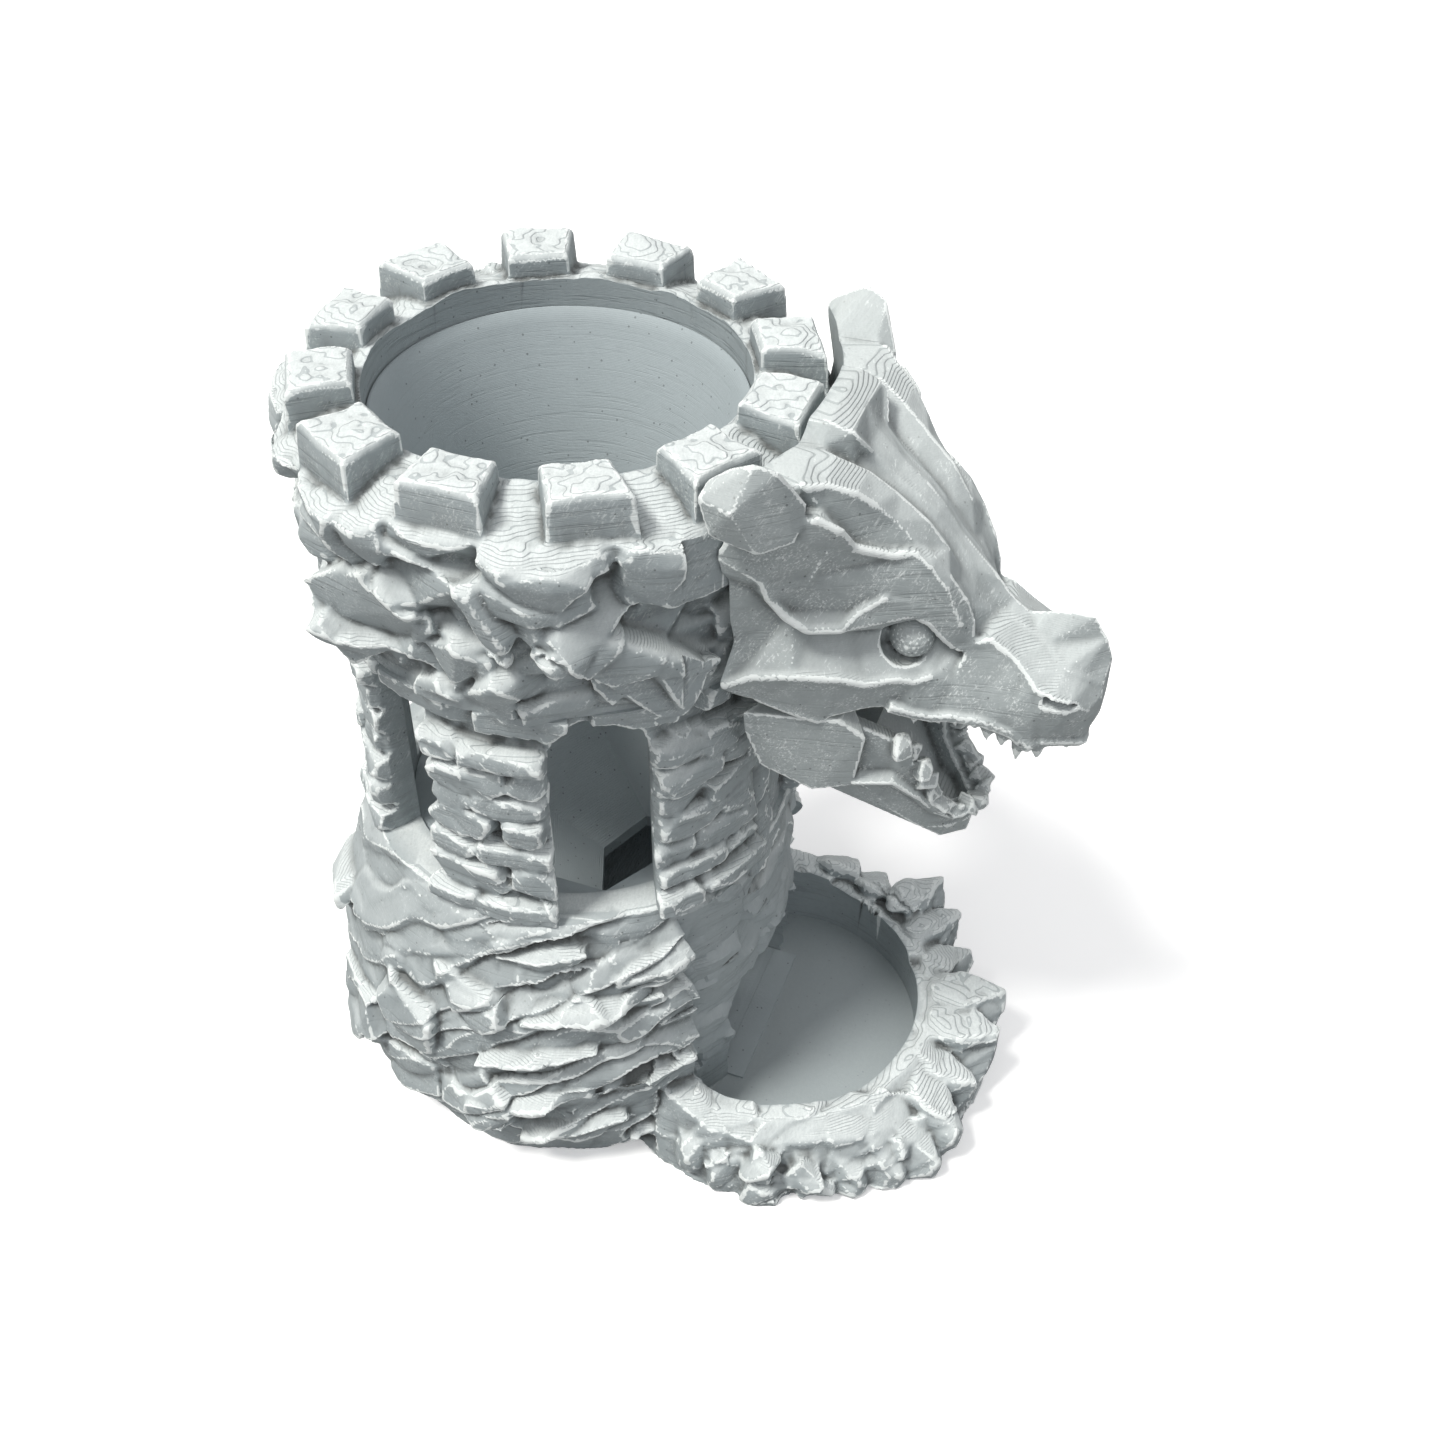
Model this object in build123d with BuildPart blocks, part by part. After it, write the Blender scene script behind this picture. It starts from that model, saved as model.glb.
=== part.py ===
from build123d import *
import os
from math import cos, radians, sin

# Castle dice tower with a dragon's head over its catch tray.
# Millimetres. The origin is on the tower's axis at the underside of the foot.
# +Z is up, and the dragon and the tray face -Y.

# ---- driving dimensions -------------------------------------------------------------------
FLOOR_TOP = 7.5               # top of the foot slab, which is also the tray's floor
SILL_TOP = 73.0               # joint between the base print and the arcade print
ARCADE_TOP = 125.5            # joint between the arcade print and the crown print
RIM_TOP = 168.3               # walkway round the mouth
MERLON_HEIGHT = 4.7

SHAFT_RADIUS = 36.0           # inside of the base and of the arcade
WALL_RADIUS = 44.0            # outside of the tower wall at the sill
MOUTH_RADIUS = 34.0           # bore of the crown
PRINT_GAP = 0.2               # gap round an insert that drops into a bore
HEAD_GAP = 0.5                # gap between the crown and the back of the head

# ---- base and catch tray ------------------------------------------------------------------
FOOT_RADIUS = 46.0
TRAY_CENTRE_Y = -44.5
TRAY_WELL_RADIUS = 31.85
TRAY_WALL_RADIUS = 42.0
TRAY_RIM_TOP = 18.7
SKIRT_SIDES = 24
SKIRT_LEVELS = [(0.0, 48.0), (20.0, 55.0), (46.0, 49.5), (SILL_TOP, WALL_RADIUS)]
DOOR_WIDTH = 38.0
DOOR_SPRING = 26.0            # height at which the door's arch starts
DOOR_RISE = 14.0
DOOR_REACH = 70.0             # how far the door cut runs from the axis
LEDGE_BOTTOM = 43.0           # ring inside the base that the chute stands on
LEDGE_TOP = 46.0
LEDGE_WIDTH = 2.0

# Rocks round the tray: angle from -Y in degrees, distance from the tray's centre, size, top.
TRAY_ROCKS = [
    (14, 44.5, 7.5, 20.0),
    (-13, 44.0, 7.0, 15.0),
    (38, 42.0, 7.0, 19.5),
    (-38, 41.5, 6.5, 16.5),
    (60, 43.0, 6.5, 24.0),
    (-60, 39.5, 6.0, 19.0),
    (82, 40.0, 6.5, 20.5),
    (-82, 39.0, 6.0, 17.5),
    (103, 39.5, 6.0, 22.5),
    (-103, 39.5, 6.0, 18.5),
]
ROCK_SIDES = 6
ROCK_TAPER = 8.0

# ---- arcade -------------------------------------------------------------------------------
ARCADE_RADIUS = 43.5
ARCH_ANGLES = [30, 90, 150, 210, 330]      # from +X; the sixth bay, at the front, is walled up
ARCH_WIDTH = 19.0
ARCH_SPRING = 114.5
ARCH_TOP = 122.5
COURSE_COUNT = 7
COURSE_GROOVE = 1.2

# ---- pins between the prints --------------------------------------------------------------
PIN_ANGLES = [60, 120, 240, 300]
PIN_CIRCLE = 39.8
PIN_RADIUS = 2.0
PIN_HALF_LENGTH = 6.0
PIN_CLEARANCE = 0.08

# ---- crown --------------------------------------------------------------------------------
CROWN_SIDES = 24
CROWN_LEVELS = [(ARCADE_TOP, 45.0), (133.0, 47.0), (154.0, 48.9), (163.0, 48.4), (RIM_TOP, 46.5)]
MERLON_COUNT = 12
MERLON_CENTRE = 41.4
MERLON_DEPTH = 11.6
MERLON_WIDTH = 12.6
MERLON_CHAMFER = 1.0
SEAT_BOTTOM = 156.5           # inner ledge that carries the hopper's flange
SEAT_TOP = 160.2
SEAT_RADIUS = 33.0

# ---- hopper -------------------------------------------------------------------------------
HOPPER_TOP = 162.5
HOPPER_BOTTOM = 126.5
HOPPER_LIP_RADIUS = 33.0
HOPPER_WAIST_RADIUS = 31.6
HOPPER_OUTLET_RADIUS = 22.5
HOPPER_WALL = 1.2

# ---- dice chute and exit ramp -------------------------------------------------------------
CHUTE_RADIUS = SHAFT_RADIUS - PRINT_GAP
CHUTE_TOP = 72.0
CHUTE_OUTLET_Y = -17.0
CHUTE_OUTLET_Z = 49.0
CHUTE_RIM_RADIUS = 35.0
OUTLET_HALF_WIDTH = 12.5
OUTLET_HALF_DEPTH = 9.0
OUTLET_POINT = 14.0
RAMP_BACK_TOP = 42.0
RAMP_FOOT_Y = -24.0
RAMP_FOOT_TOP = 8.6
RAMP_LIP_Y = -43.0
RAMP_LIP_TOP = 7.9

# ---- dragon's head ------------------------------------------------------------------------
JAW_JOINT = 121.0             # flat joint between the skull and the lower jaw
BACK_RADIUS = CROWN_LEVELS[2][1] + HEAD_GAP
# Slices of the skull and of the jaw: distance in front of the axis, then half the outline
# as (x, z) from the crest down to the middle of the underside.
SKULL_SLICES = [
    (38, [(0, 168), (12, 172), (30, 168), (30, 152), (28, 130), (12, JAW_JOINT), (0, JAW_JOINT)]),
    (56, [(0, 168), (14, 169), (25, 166), (25, 148), (24, 128), (12, JAW_JOINT), (0, JAW_JOINT)]),
    (68, [(0, 159), (11, 157), (17, 155), (15, 146), (16.5, 126), (9, 119), (0, 119)]),
    (79, [(0, 144.5), (8, 143), (12, 141), (12.5, 137), (12.5, 121), (8, 116), (0, 116)]),
    (89, [(0, 139), (7, 135.5), (9.5, 132.5), (11.5, 127), (11, 115), (6, 113.5), (0, 113.5)]),
    (103, [(0, 137), (5, 136), (7, 131), (7, 125), (6, 117), (3, 115), (0, 115)]),
]
JAW_SLICES = [
    (42, [(0, JAW_JOINT - 1), (21, JAW_JOINT), (22.5, 108), (14, 101), (0, 100)]),
    (57, [(0, JAW_JOINT - 1), (19, JAW_JOINT), (19.5, 104), (12, 99), (0, 98)]),
    (67, [(0, 104), (15, 115), (14, 100), (8, 96), (0, 95)]),
    (75, [(0, 96), (10.5, 102), (9.5, 90), (5, 88), (0, 87.5)]),
    (83, [(0, 91.5), (4.5, 93.5), (4.5, 88), (3, 86), (0, 85.5)]),
]
HORN_FOOT = (23.0, -47.0, 167.0)
HORN_DIRECTION = (1.0, -0.05, 0.28)
HORN_RADIUS = 9.2
HORN_LENGTH = 12.0
HORN_SIDES = 8
EYE_CENTRE = (12.8, -69.6, 138.4)
EYE_RADIUS = 4.2
# Teeth of one side: (x, y) of each tooth's middle, and the height of the lip over it.
UPPER_TEETH = [(12.5, -68.5, 122.0), (11.0, -75.0, 119.6), (10.0, -81.0, 117.6), (9.0, -87.0, 115.1), (6.5, -94.0, 114.5)]
LOWER_TEETH = [(11.5, -70.0, 108.3), (9.5, -74.0, 102.3), (5.5, -79.0, 96.3), (2.8, -81.5, 93.2)]
TOOTH_RADIUS = 1.8
TOOTH_ROOT = 2.5
TOOTH_LENGTH = 4.5
TOOTH_TAPER = 10.0

HEAD_PEG_X = 11.0
HEAD_PEG_Z = 146.0
HEAD_PEG_RADIUS = 3.0
HEAD_PEG_BACK_Y = -40.0
HEAD_PEG_FRONT_Y = -58.0
PEG_END_GAP = 0.5
JAW_PEG_X = 9.0
JAW_PEG_Y = -54.0
JAW_PEG_RADIUS = 1.5
JAW_PEG_HALF_LENGTH = 6.0


def polar(angle, distance, centre_y=0.0):
    """Point at an angle from -Y, towards +X, round the point (0, centre_y)."""
    return (distance * sin(radians(angle)), centre_y - distance * cos(radians(angle)))


def radial_plane(angle):
    """Upright plane through the axis, facing outwards at an angle from +X."""
    outward = (cos(radians(angle)), sin(radians(angle)), 0)
    tangent = (-sin(radians(angle)), cos(radians(angle)), 0)
    return Plane(origin=(0, 0, 0), x_dir=tangent, z_dir=outward)


pin_points = [(PIN_CIRCLE * cos(radians(a)), PIN_CIRCLE * sin(radians(a))) for a in PIN_ANGLES]

# ---- base print: foot, rock skirt, doorway and catch tray ------------------------------------
with BuildPart() as tray_base:
    with BuildSketch():
        Circle(FOOT_RADIUS)
        with Locations((0, TRAY_CENTRE_Y)):
            Circle(TRAY_WALL_RADIUS)
    extrude(amount=TRAY_RIM_TOP)
    for angle, distance, size, top in TRAY_ROCKS:
        with BuildSketch():
            with Locations(polar(angle, distance, TRAY_CENTRE_Y)):
                RegularPolygon(size, ROCK_SIDES, rotation=angle)
        extrude(amount=top, taper=ROCK_TAPER)
    for height, radius in SKIRT_LEVELS:
        with BuildSketch(Plane.XY.offset(height)):
            RegularPolygon(radius, SKIRT_SIDES)
    loft(ruled=True)
    # The tray's well stops at the tower's wall.
    with BuildSketch(Plane.XY.offset(FLOOR_TOP)):
        with Locations((0, TRAY_CENTRE_Y)):
            Circle(TRAY_WELL_RADIUS)
        Circle(WALL_RADIUS, mode=Mode.SUBTRACT)
    extrude(amount=SILL_TOP, mode=Mode.SUBTRACT)
    # Shaft, with the ledge for the chute.
    with BuildSketch(Plane.XY.offset(FLOOR_TOP)):
        Circle(SHAFT_RADIUS)
    extrude(amount=SILL_TOP, mode=Mode.SUBTRACT)
    with BuildSketch(Plane.XY.offset(LEDGE_BOTTOM)):
        Circle(SHAFT_RADIUS)
        Circle(SHAFT_RADIUS - LEDGE_WIDTH, mode=Mode.SUBTRACT)
    extrude(amount=LEDGE_TOP - LEDGE_BOTTOM)
    # Doorway from the shaft to the tray.
    with BuildSketch(Plane.XZ):
        with Locations((0, (FLOOR_TOP + DOOR_SPRING) / 2)):
            Rectangle(DOOR_WIDTH, DOOR_SPRING - FLOOR_TOP)
        with Locations((0, DOOR_SPRING)):
            Ellipse(DOOR_WIDTH / 2, DOOR_RISE)
    extrude(amount=DOOR_REACH, mode=Mode.SUBTRACT)
    with Locations(*[(x, y, SILL_TOP) for x, y in pin_points]):
        Hole(PIN_RADIUS + PIN_CLEARANCE, PIN_HALF_LENGTH + PEG_END_GAP)
tray_base.part.label = "tray_base"

with BuildPart() as base_pins:
    with BuildSketch(Plane.XY.offset(SILL_TOP - PIN_HALF_LENGTH)):
        with Locations(*pin_points):
            Circle(PIN_RADIUS)
    extrude(amount=2 * PIN_HALF_LENGTH)
base_pins.part.label = "base_pins"

# ---- arcade print: six piers, five open arches and a walled front bay ------------------------
course_pitch = (ARCADE_TOP - SILL_TOP) / (COURSE_COUNT + 1)
with BuildPart() as arcade:
    with BuildSketch(Plane.XY.offset(SILL_TOP)):
        Circle(ARCADE_RADIUS)
        Circle(SHAFT_RADIUS, mode=Mode.SUBTRACT)
    extrude(amount=ARCADE_TOP - SILL_TOP)
    for angle in ARCH_ANGLES:
        with BuildSketch(radial_plane(angle)):
            with Locations((0, (SILL_TOP + ARCH_SPRING) / 2)):
                Rectangle(ARCH_WIDTH, ARCH_SPRING - SILL_TOP)
            with Locations((0, ARCH_SPRING)):
                Ellipse(ARCH_WIDTH / 2, ARCH_TOP - ARCH_SPRING)
        extrude(amount=WALL_RADIUS + HEAD_GAP, mode=Mode.SUBTRACT)
    # Mortar grooves between the courses of brick.
    with BuildSketch(Plane.XZ):
        for course in range(1, COURSE_COUNT + 1):
            with Locations((ARCADE_RADIUS, SILL_TOP + course * course_pitch)):
                Rectangle(COURSE_GROOVE, COURSE_GROOVE)
    revolve(axis=Axis.Z, mode=Mode.SUBTRACT)
    with Locations(*[(x, y, ARCADE_TOP) for x, y in pin_points]):
        Hole(PIN_RADIUS + PIN_CLEARANCE, PIN_HALF_LENGTH + PEG_END_GAP)
    with BuildSketch(Plane.XY.offset(SILL_TOP)):
        with Locations(*pin_points):
            Circle(PIN_RADIUS + PIN_CLEARANCE)
    extrude(amount=PIN_HALF_LENGTH + PEG_END_GAP, mode=Mode.SUBTRACT)
arcade.part.label = "arcade"

with BuildPart() as crown_pins:
    with BuildSketch(Plane.XY.offset(ARCADE_TOP - PIN_HALF_LENGTH)):
        with Locations(*pin_points):
            Circle(PIN_RADIUS)
    extrude(amount=2 * PIN_HALF_LENGTH)
crown_pins.part.label = "crown_pins"

# ---- crown print: rock ring with twelve merlons round the mouth ------------------------------
with BuildPart() as crown:
    for height, radius in CROWN_LEVELS:
        with BuildSketch(Plane.XY.offset(height)):
            RegularPolygon(radius, CROWN_SIDES)
    loft(ruled=True)
    with BuildSketch(Plane.XY.offset(RIM_TOP)):
        with PolarLocations(MERLON_CENTRE, MERLON_COUNT):
            Rectangle(MERLON_DEPTH, MERLON_WIDTH)
    extrude(amount=MERLON_HEIGHT)
    merlon_tops = faces().group_by(Axis.Z)[-1]
    chamfer(merlon_tops.edges(), length=MERLON_CHAMFER)
    with BuildSketch(Plane.XY.offset(ARCADE_TOP)):
        Circle(MOUTH_RADIUS)
    extrude(amount=RIM_TOP + MERLON_HEIGHT - ARCADE_TOP, mode=Mode.SUBTRACT)
    with BuildSketch(Plane.XY.offset(SEAT_BOTTOM)):
        Circle(MOUTH_RADIUS)
        Circle(SEAT_RADIUS, mode=Mode.SUBTRACT)
    extrude(amount=SEAT_TOP - SEAT_BOTTOM)
    with BuildSketch(Plane.XY.offset(ARCADE_TOP)):
        with Locations(*pin_points):
            Circle(PIN_RADIUS + PIN_CLEARANCE)
    extrude(amount=PIN_HALF_LENGTH + PEG_END_GAP, mode=Mode.SUBTRACT)
    # Sockets for the pegs of the head.
    with BuildSketch(Plane.XZ.offset(-HEAD_PEG_BACK_Y - PEG_END_GAP)):
        with Locations((-HEAD_PEG_X, HEAD_PEG_Z), (HEAD_PEG_X, HEAD_PEG_Z)):
            Circle(HEAD_PEG_RADIUS + PIN_CLEARANCE)
    extrude(amount=HEAD_PEG_BACK_Y - HEAD_PEG_FRONT_Y, mode=Mode.SUBTRACT)
crown.part.label = "crown"

# ---- hopper: funnel that drops into the crown ------------------------------------------------
flange_radius = MOUTH_RADIUS - PRINT_GAP
with BuildPart() as hopper:
    with BuildSketch(Plane.XZ):
        with BuildLine():
            Polyline(
                (HOPPER_LIP_RADIUS, HOPPER_TOP),
                (flange_radius, HOPPER_TOP),
                (flange_radius, SEAT_TOP),
                (HOPPER_WAIST_RADIUS + HOPPER_WALL, SEAT_TOP),
                (HOPPER_OUTLET_RADIUS + HOPPER_WALL, HOPPER_BOTTOM),
                (HOPPER_OUTLET_RADIUS, HOPPER_BOTTOM),
                (HOPPER_WAIST_RADIUS, SEAT_TOP),
                close=True,
            )
        make_face()
    revolve(axis=Axis.Z)
hopper.part.label = "hopper"

# ---- dice chute: six-sided funnel below the arches, with its outlet towards the front --------
with BuildPart() as dice_chute:
    with BuildSketch(Plane.XY.offset(LEDGE_TOP)):
        Circle(CHUTE_RADIUS)
    extrude(amount=CHUTE_TOP - LEDGE_TOP)
    with BuildPart(mode=Mode.SUBTRACT):
        with BuildSketch(Plane.XY.offset(CHUTE_OUTLET_Z)):
            with BuildLine():
                Polyline(
                    (OUTLET_HALF_WIDTH, CHUTE_OUTLET_Y - OUTLET_HALF_DEPTH),
                    (OUTLET_HALF_WIDTH, CHUTE_OUTLET_Y + OUTLET_HALF_DEPTH),
                    (0, CHUTE_OUTLET_Y + OUTLET_POINT),
                    (-OUTLET_HALF_WIDTH, CHUTE_OUTLET_Y + OUTLET_HALF_DEPTH),
                    (-OUTLET_HALF_WIDTH, CHUTE_OUTLET_Y - OUTLET_HALF_DEPTH),
                    (0, CHUTE_OUTLET_Y - OUTLET_POINT),
                    close=True,
                )
            make_face()
        with BuildSketch(Plane.XY.offset(CHUTE_TOP)):
            with BuildLine():
                Polyline(*[polar(a, CHUTE_RIM_RADIUS) for a in (60, 120, 180, 240, 300, 360)], close=True)
            make_face()
        loft(ruled=True)
    with BuildSketch(Plane.XY.offset(LEDGE_TOP)):
        with BuildLine():
            Polyline(
                (OUTLET_HALF_WIDTH, CHUTE_OUTLET_Y - OUTLET_HALF_DEPTH),
                (OUTLET_HALF_WIDTH, CHUTE_OUTLET_Y + OUTLET_HALF_DEPTH),
                (0, CHUTE_OUTLET_Y + OUTLET_POINT),
                (-OUTLET_HALF_WIDTH, CHUTE_OUTLET_Y + OUTLET_HALF_DEPTH),
                (-OUTLET_HALF_WIDTH, CHUTE_OUTLET_Y - OUTLET_HALF_DEPTH),
                (0, CHUTE_OUTLET_Y - OUTLET_POINT),
                close=True,
            )
        make_face()
    extrude(amount=CHUTE_OUTLET_Z - LEDGE_TOP, mode=Mode.SUBTRACT)
dice_chute.part.label = "dice_chute"

# ---- exit ramp: wedge on the floor of the shaft that rolls the dice out of the door -----------
with BuildPart() as exit_ramp:
    with BuildSketch(Plane.YZ):
        with BuildLine():
            Polyline(
                (CHUTE_RADIUS, FLOOR_TOP),
                (CHUTE_RADIUS, RAMP_BACK_TOP),
                (RAMP_FOOT_Y, RAMP_FOOT_TOP),
                (RAMP_LIP_Y, RAMP_LIP_TOP),
                (RAMP_LIP_Y, FLOOR_TOP),
                close=True,
            )
        make_face()
    extrude(amount=CHUTE_RADIUS, both=True)
    with BuildSketch(Plane.XY.offset(FLOOR_TOP)):
        Circle(CHUTE_RADIUS)
        with Locations((0, RAMP_LIP_Y / 2)):
            Rectangle(DOOR_WIDTH - 2 * PRINT_GAP, -RAMP_LIP_Y)
    extrude(amount=RAMP_BACK_TOP - FLOOR_TOP, mode=Mode.INTERSECT)
exit_ramp.part.label = "exit_ramp"

# ---- dragon's head: skull, lower jaw and their pegs ------------------------------------------
peg_points = [(-HEAD_PEG_X, HEAD_PEG_Z), (HEAD_PEG_X, HEAD_PEG_Z)]
jaw_peg_points = [(-JAW_PEG_X, JAW_PEG_Y), (JAW_PEG_X, JAW_PEG_Y)]

with BuildPart() as dragon_skull:
    for depth, outline in SKULL_SLICES:
        with BuildSketch(Plane.XZ.offset(depth)):
            with BuildLine():
                Polyline(*outline)
                mirror(about=Plane.YZ)
            make_face()
    loft(ruled=True)
    for side in (-1, 1):
        foot = (side * HORN_FOOT[0], HORN_FOOT[1], HORN_FOOT[2])
        direction = (side * HORN_DIRECTION[0], HORN_DIRECTION[1], HORN_DIRECTION[2])
        with BuildSketch(Plane(origin=foot, x_dir=(0, 1, 0), z_dir=direction)):
            RegularPolygon(HORN_RADIUS, HORN_SIDES)
        extrude(amount=HORN_LENGTH)
        with Locations((side * EYE_CENTRE[0], EYE_CENTRE[1], EYE_CENTRE[2])):
            Sphere(EYE_RADIUS)
        for x, y, lip in UPPER_TEETH:
            with BuildSketch(Plane((side * x, y, lip + TOOTH_ROOT), z_dir=(0, 0, -1))):
                RegularPolygon(TOOTH_RADIUS, 5)
            extrude(amount=TOOTH_ROOT + TOOTH_LENGTH, taper=TOOTH_TAPER)
    with BuildSketch():
        Circle(BACK_RADIUS)
    extrude(amount=2 * RIM_TOP, mode=Mode.SUBTRACT)
    with BuildSketch(Plane.XZ.offset(-HEAD_PEG_BACK_Y)):
        with Locations(*peg_points):
            Circle(HEAD_PEG_RADIUS)
    extrude(amount=HEAD_PEG_BACK_Y - HEAD_PEG_FRONT_Y, mode=Mode.SUBTRACT)
    with BuildSketch(Plane.XY.offset(JAW_JOINT)):
        with Locations(*jaw_peg_points):
            Circle(JAW_PEG_RADIUS)
    extrude(amount=JAW_PEG_HALF_LENGTH, mode=Mode.SUBTRACT)
dragon_skull.part.label = "dragon_skull"

with BuildPart() as lower_jaw:
    for depth, outline in JAW_SLICES:
        with BuildSketch(Plane.XZ.offset(depth)):
            with BuildLine():
                Polyline(*outline)
                mirror(about=Plane.YZ)
            make_face()
    loft(ruled=True)
    for side in (-1, 1):
        for x, y, lip in LOWER_TEETH:
            with BuildSketch(Plane((side * x, y, lip - TOOTH_ROOT))):
                RegularPolygon(TOOTH_RADIUS, 5)
            extrude(amount=TOOTH_ROOT + TOOTH_LENGTH, taper=TOOTH_TAPER)
    with BuildSketch():
        Circle(BACK_RADIUS)
    extrude(amount=RIM_TOP, mode=Mode.SUBTRACT)
    with BuildSketch(Plane.XY.offset(JAW_JOINT - JAW_PEG_HALF_LENGTH)):
        with Locations(*jaw_peg_points):
            Circle(JAW_PEG_RADIUS)
    extrude(amount=JAW_PEG_HALF_LENGTH, mode=Mode.SUBTRACT)
lower_jaw.part.label = "lower_jaw"

with BuildPart() as head_pegs:
    with BuildSketch(Plane.XZ.offset(-HEAD_PEG_BACK_Y)):
        with Locations(*peg_points):
            Circle(HEAD_PEG_RADIUS)
    extrude(amount=HEAD_PEG_BACK_Y - HEAD_PEG_FRONT_Y)
head_pegs.part.label = "head_pegs"

with BuildPart() as jaw_pegs:
    with BuildSketch(Plane.XY.offset(JAW_JOINT - JAW_PEG_HALF_LENGTH)):
        with Locations(*jaw_peg_points):
            Circle(JAW_PEG_RADIUS)
    extrude(amount=2 * JAW_PEG_HALF_LENGTH)
jaw_pegs.part.label = "jaw_pegs"

# ---- files -------------------------------------------------------------------------------
os.makedirs("parts", exist_ok=True)
pieces = [
    tray_base, base_pins, arcade, crown_pins, crown, hopper, dice_chute, exit_ramp,
    dragon_skull, lower_jaw, head_pegs, jaw_pegs,
]
for piece in pieces:
    export_step(piece.part, f"parts/{piece.part.label}.step")
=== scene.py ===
import logging
import math
import random
from dataclasses import dataclass
from enum import Enum
from functools import partial

import bmesh
import bpy
import numpy as np
from mathutils import Matrix, Vector, kdtree, noise


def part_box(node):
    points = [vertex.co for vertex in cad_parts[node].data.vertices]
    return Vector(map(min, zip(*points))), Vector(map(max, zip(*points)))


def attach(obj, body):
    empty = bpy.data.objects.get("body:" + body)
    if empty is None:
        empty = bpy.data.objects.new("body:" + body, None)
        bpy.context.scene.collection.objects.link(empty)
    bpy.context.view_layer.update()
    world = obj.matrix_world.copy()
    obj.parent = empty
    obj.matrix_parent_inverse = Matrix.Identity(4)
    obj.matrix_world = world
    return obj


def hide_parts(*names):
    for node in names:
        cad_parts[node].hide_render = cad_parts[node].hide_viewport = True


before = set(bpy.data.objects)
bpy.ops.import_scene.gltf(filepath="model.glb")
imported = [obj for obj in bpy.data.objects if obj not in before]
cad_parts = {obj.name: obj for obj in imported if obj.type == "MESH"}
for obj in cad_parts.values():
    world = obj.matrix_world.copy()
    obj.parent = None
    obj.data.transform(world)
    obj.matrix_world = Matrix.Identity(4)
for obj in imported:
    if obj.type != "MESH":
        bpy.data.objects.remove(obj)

LOG = logging.getLogger("dice_tower")
MM = 0.001
TRIANGLE_LIMIT = 190_000
SAME_POINT = 0.02  # millimetres within which two vertices are one and the same
FULL_TURN = 2 * math.pi


class Body(Enum):
    """CAD bodies that the pieces ride on."""

    TOWER = "tower"
    CROWN = "crown"
    HOPPER = "hopper"
    HEAD = "head"


class Slot(Enum):
    """Material slots of the record."""

    ROCK = "drybrushed_rock_print"
    HEAD = "drybrushed_head_print"
    PLAIN = "bare_grey_print"


def node_span(node: str) -> tuple[Vector, Vector]:
    """Lowest and highest corner of a CAD node.

    Args:
        node: Name of the node.

    Returns:
        The two corners in millimetres.
    """
    low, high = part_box(node)
    return Vector(low) / MM, Vector(high) / MM


def polar(angle: float, radius: float, height: float = 0.0, centre_y: float = 0.0) -> Vector:
    """Point round an upright axis on the Y axis.

    Args:
        angle: Degrees from -Y towards +X.
        radius: Distance from the axis in millimetres.
        height: Z in millimetres.
        centre_y: Where the axis stands on Y.

    Returns:
        The point in millimetres.
    """
    turn = math.radians(angle)
    return Vector((radius * math.sin(turn), centre_y - radius * math.cos(turn), height))


def facing(angle: float, lean: float = 0.0, roll: float = 0.0) -> Matrix:
    """Rotation that points a block's local -Y outwards.

    Args:
        angle: Degrees from -Y towards +X.
        lean: Degrees that the face tips; positive looks up.
        roll: Degrees that the block is turned in its own face.

    Returns:
        A 3 x 3 rotation.
    """
    return (
        Matrix.Rotation(math.radians(angle), 3, "Z")
        @ Matrix.Rotation(math.radians(-lean), 3, "X")
        @ Matrix.Rotation(math.radians(roll), 3, "Y")
    )


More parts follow.
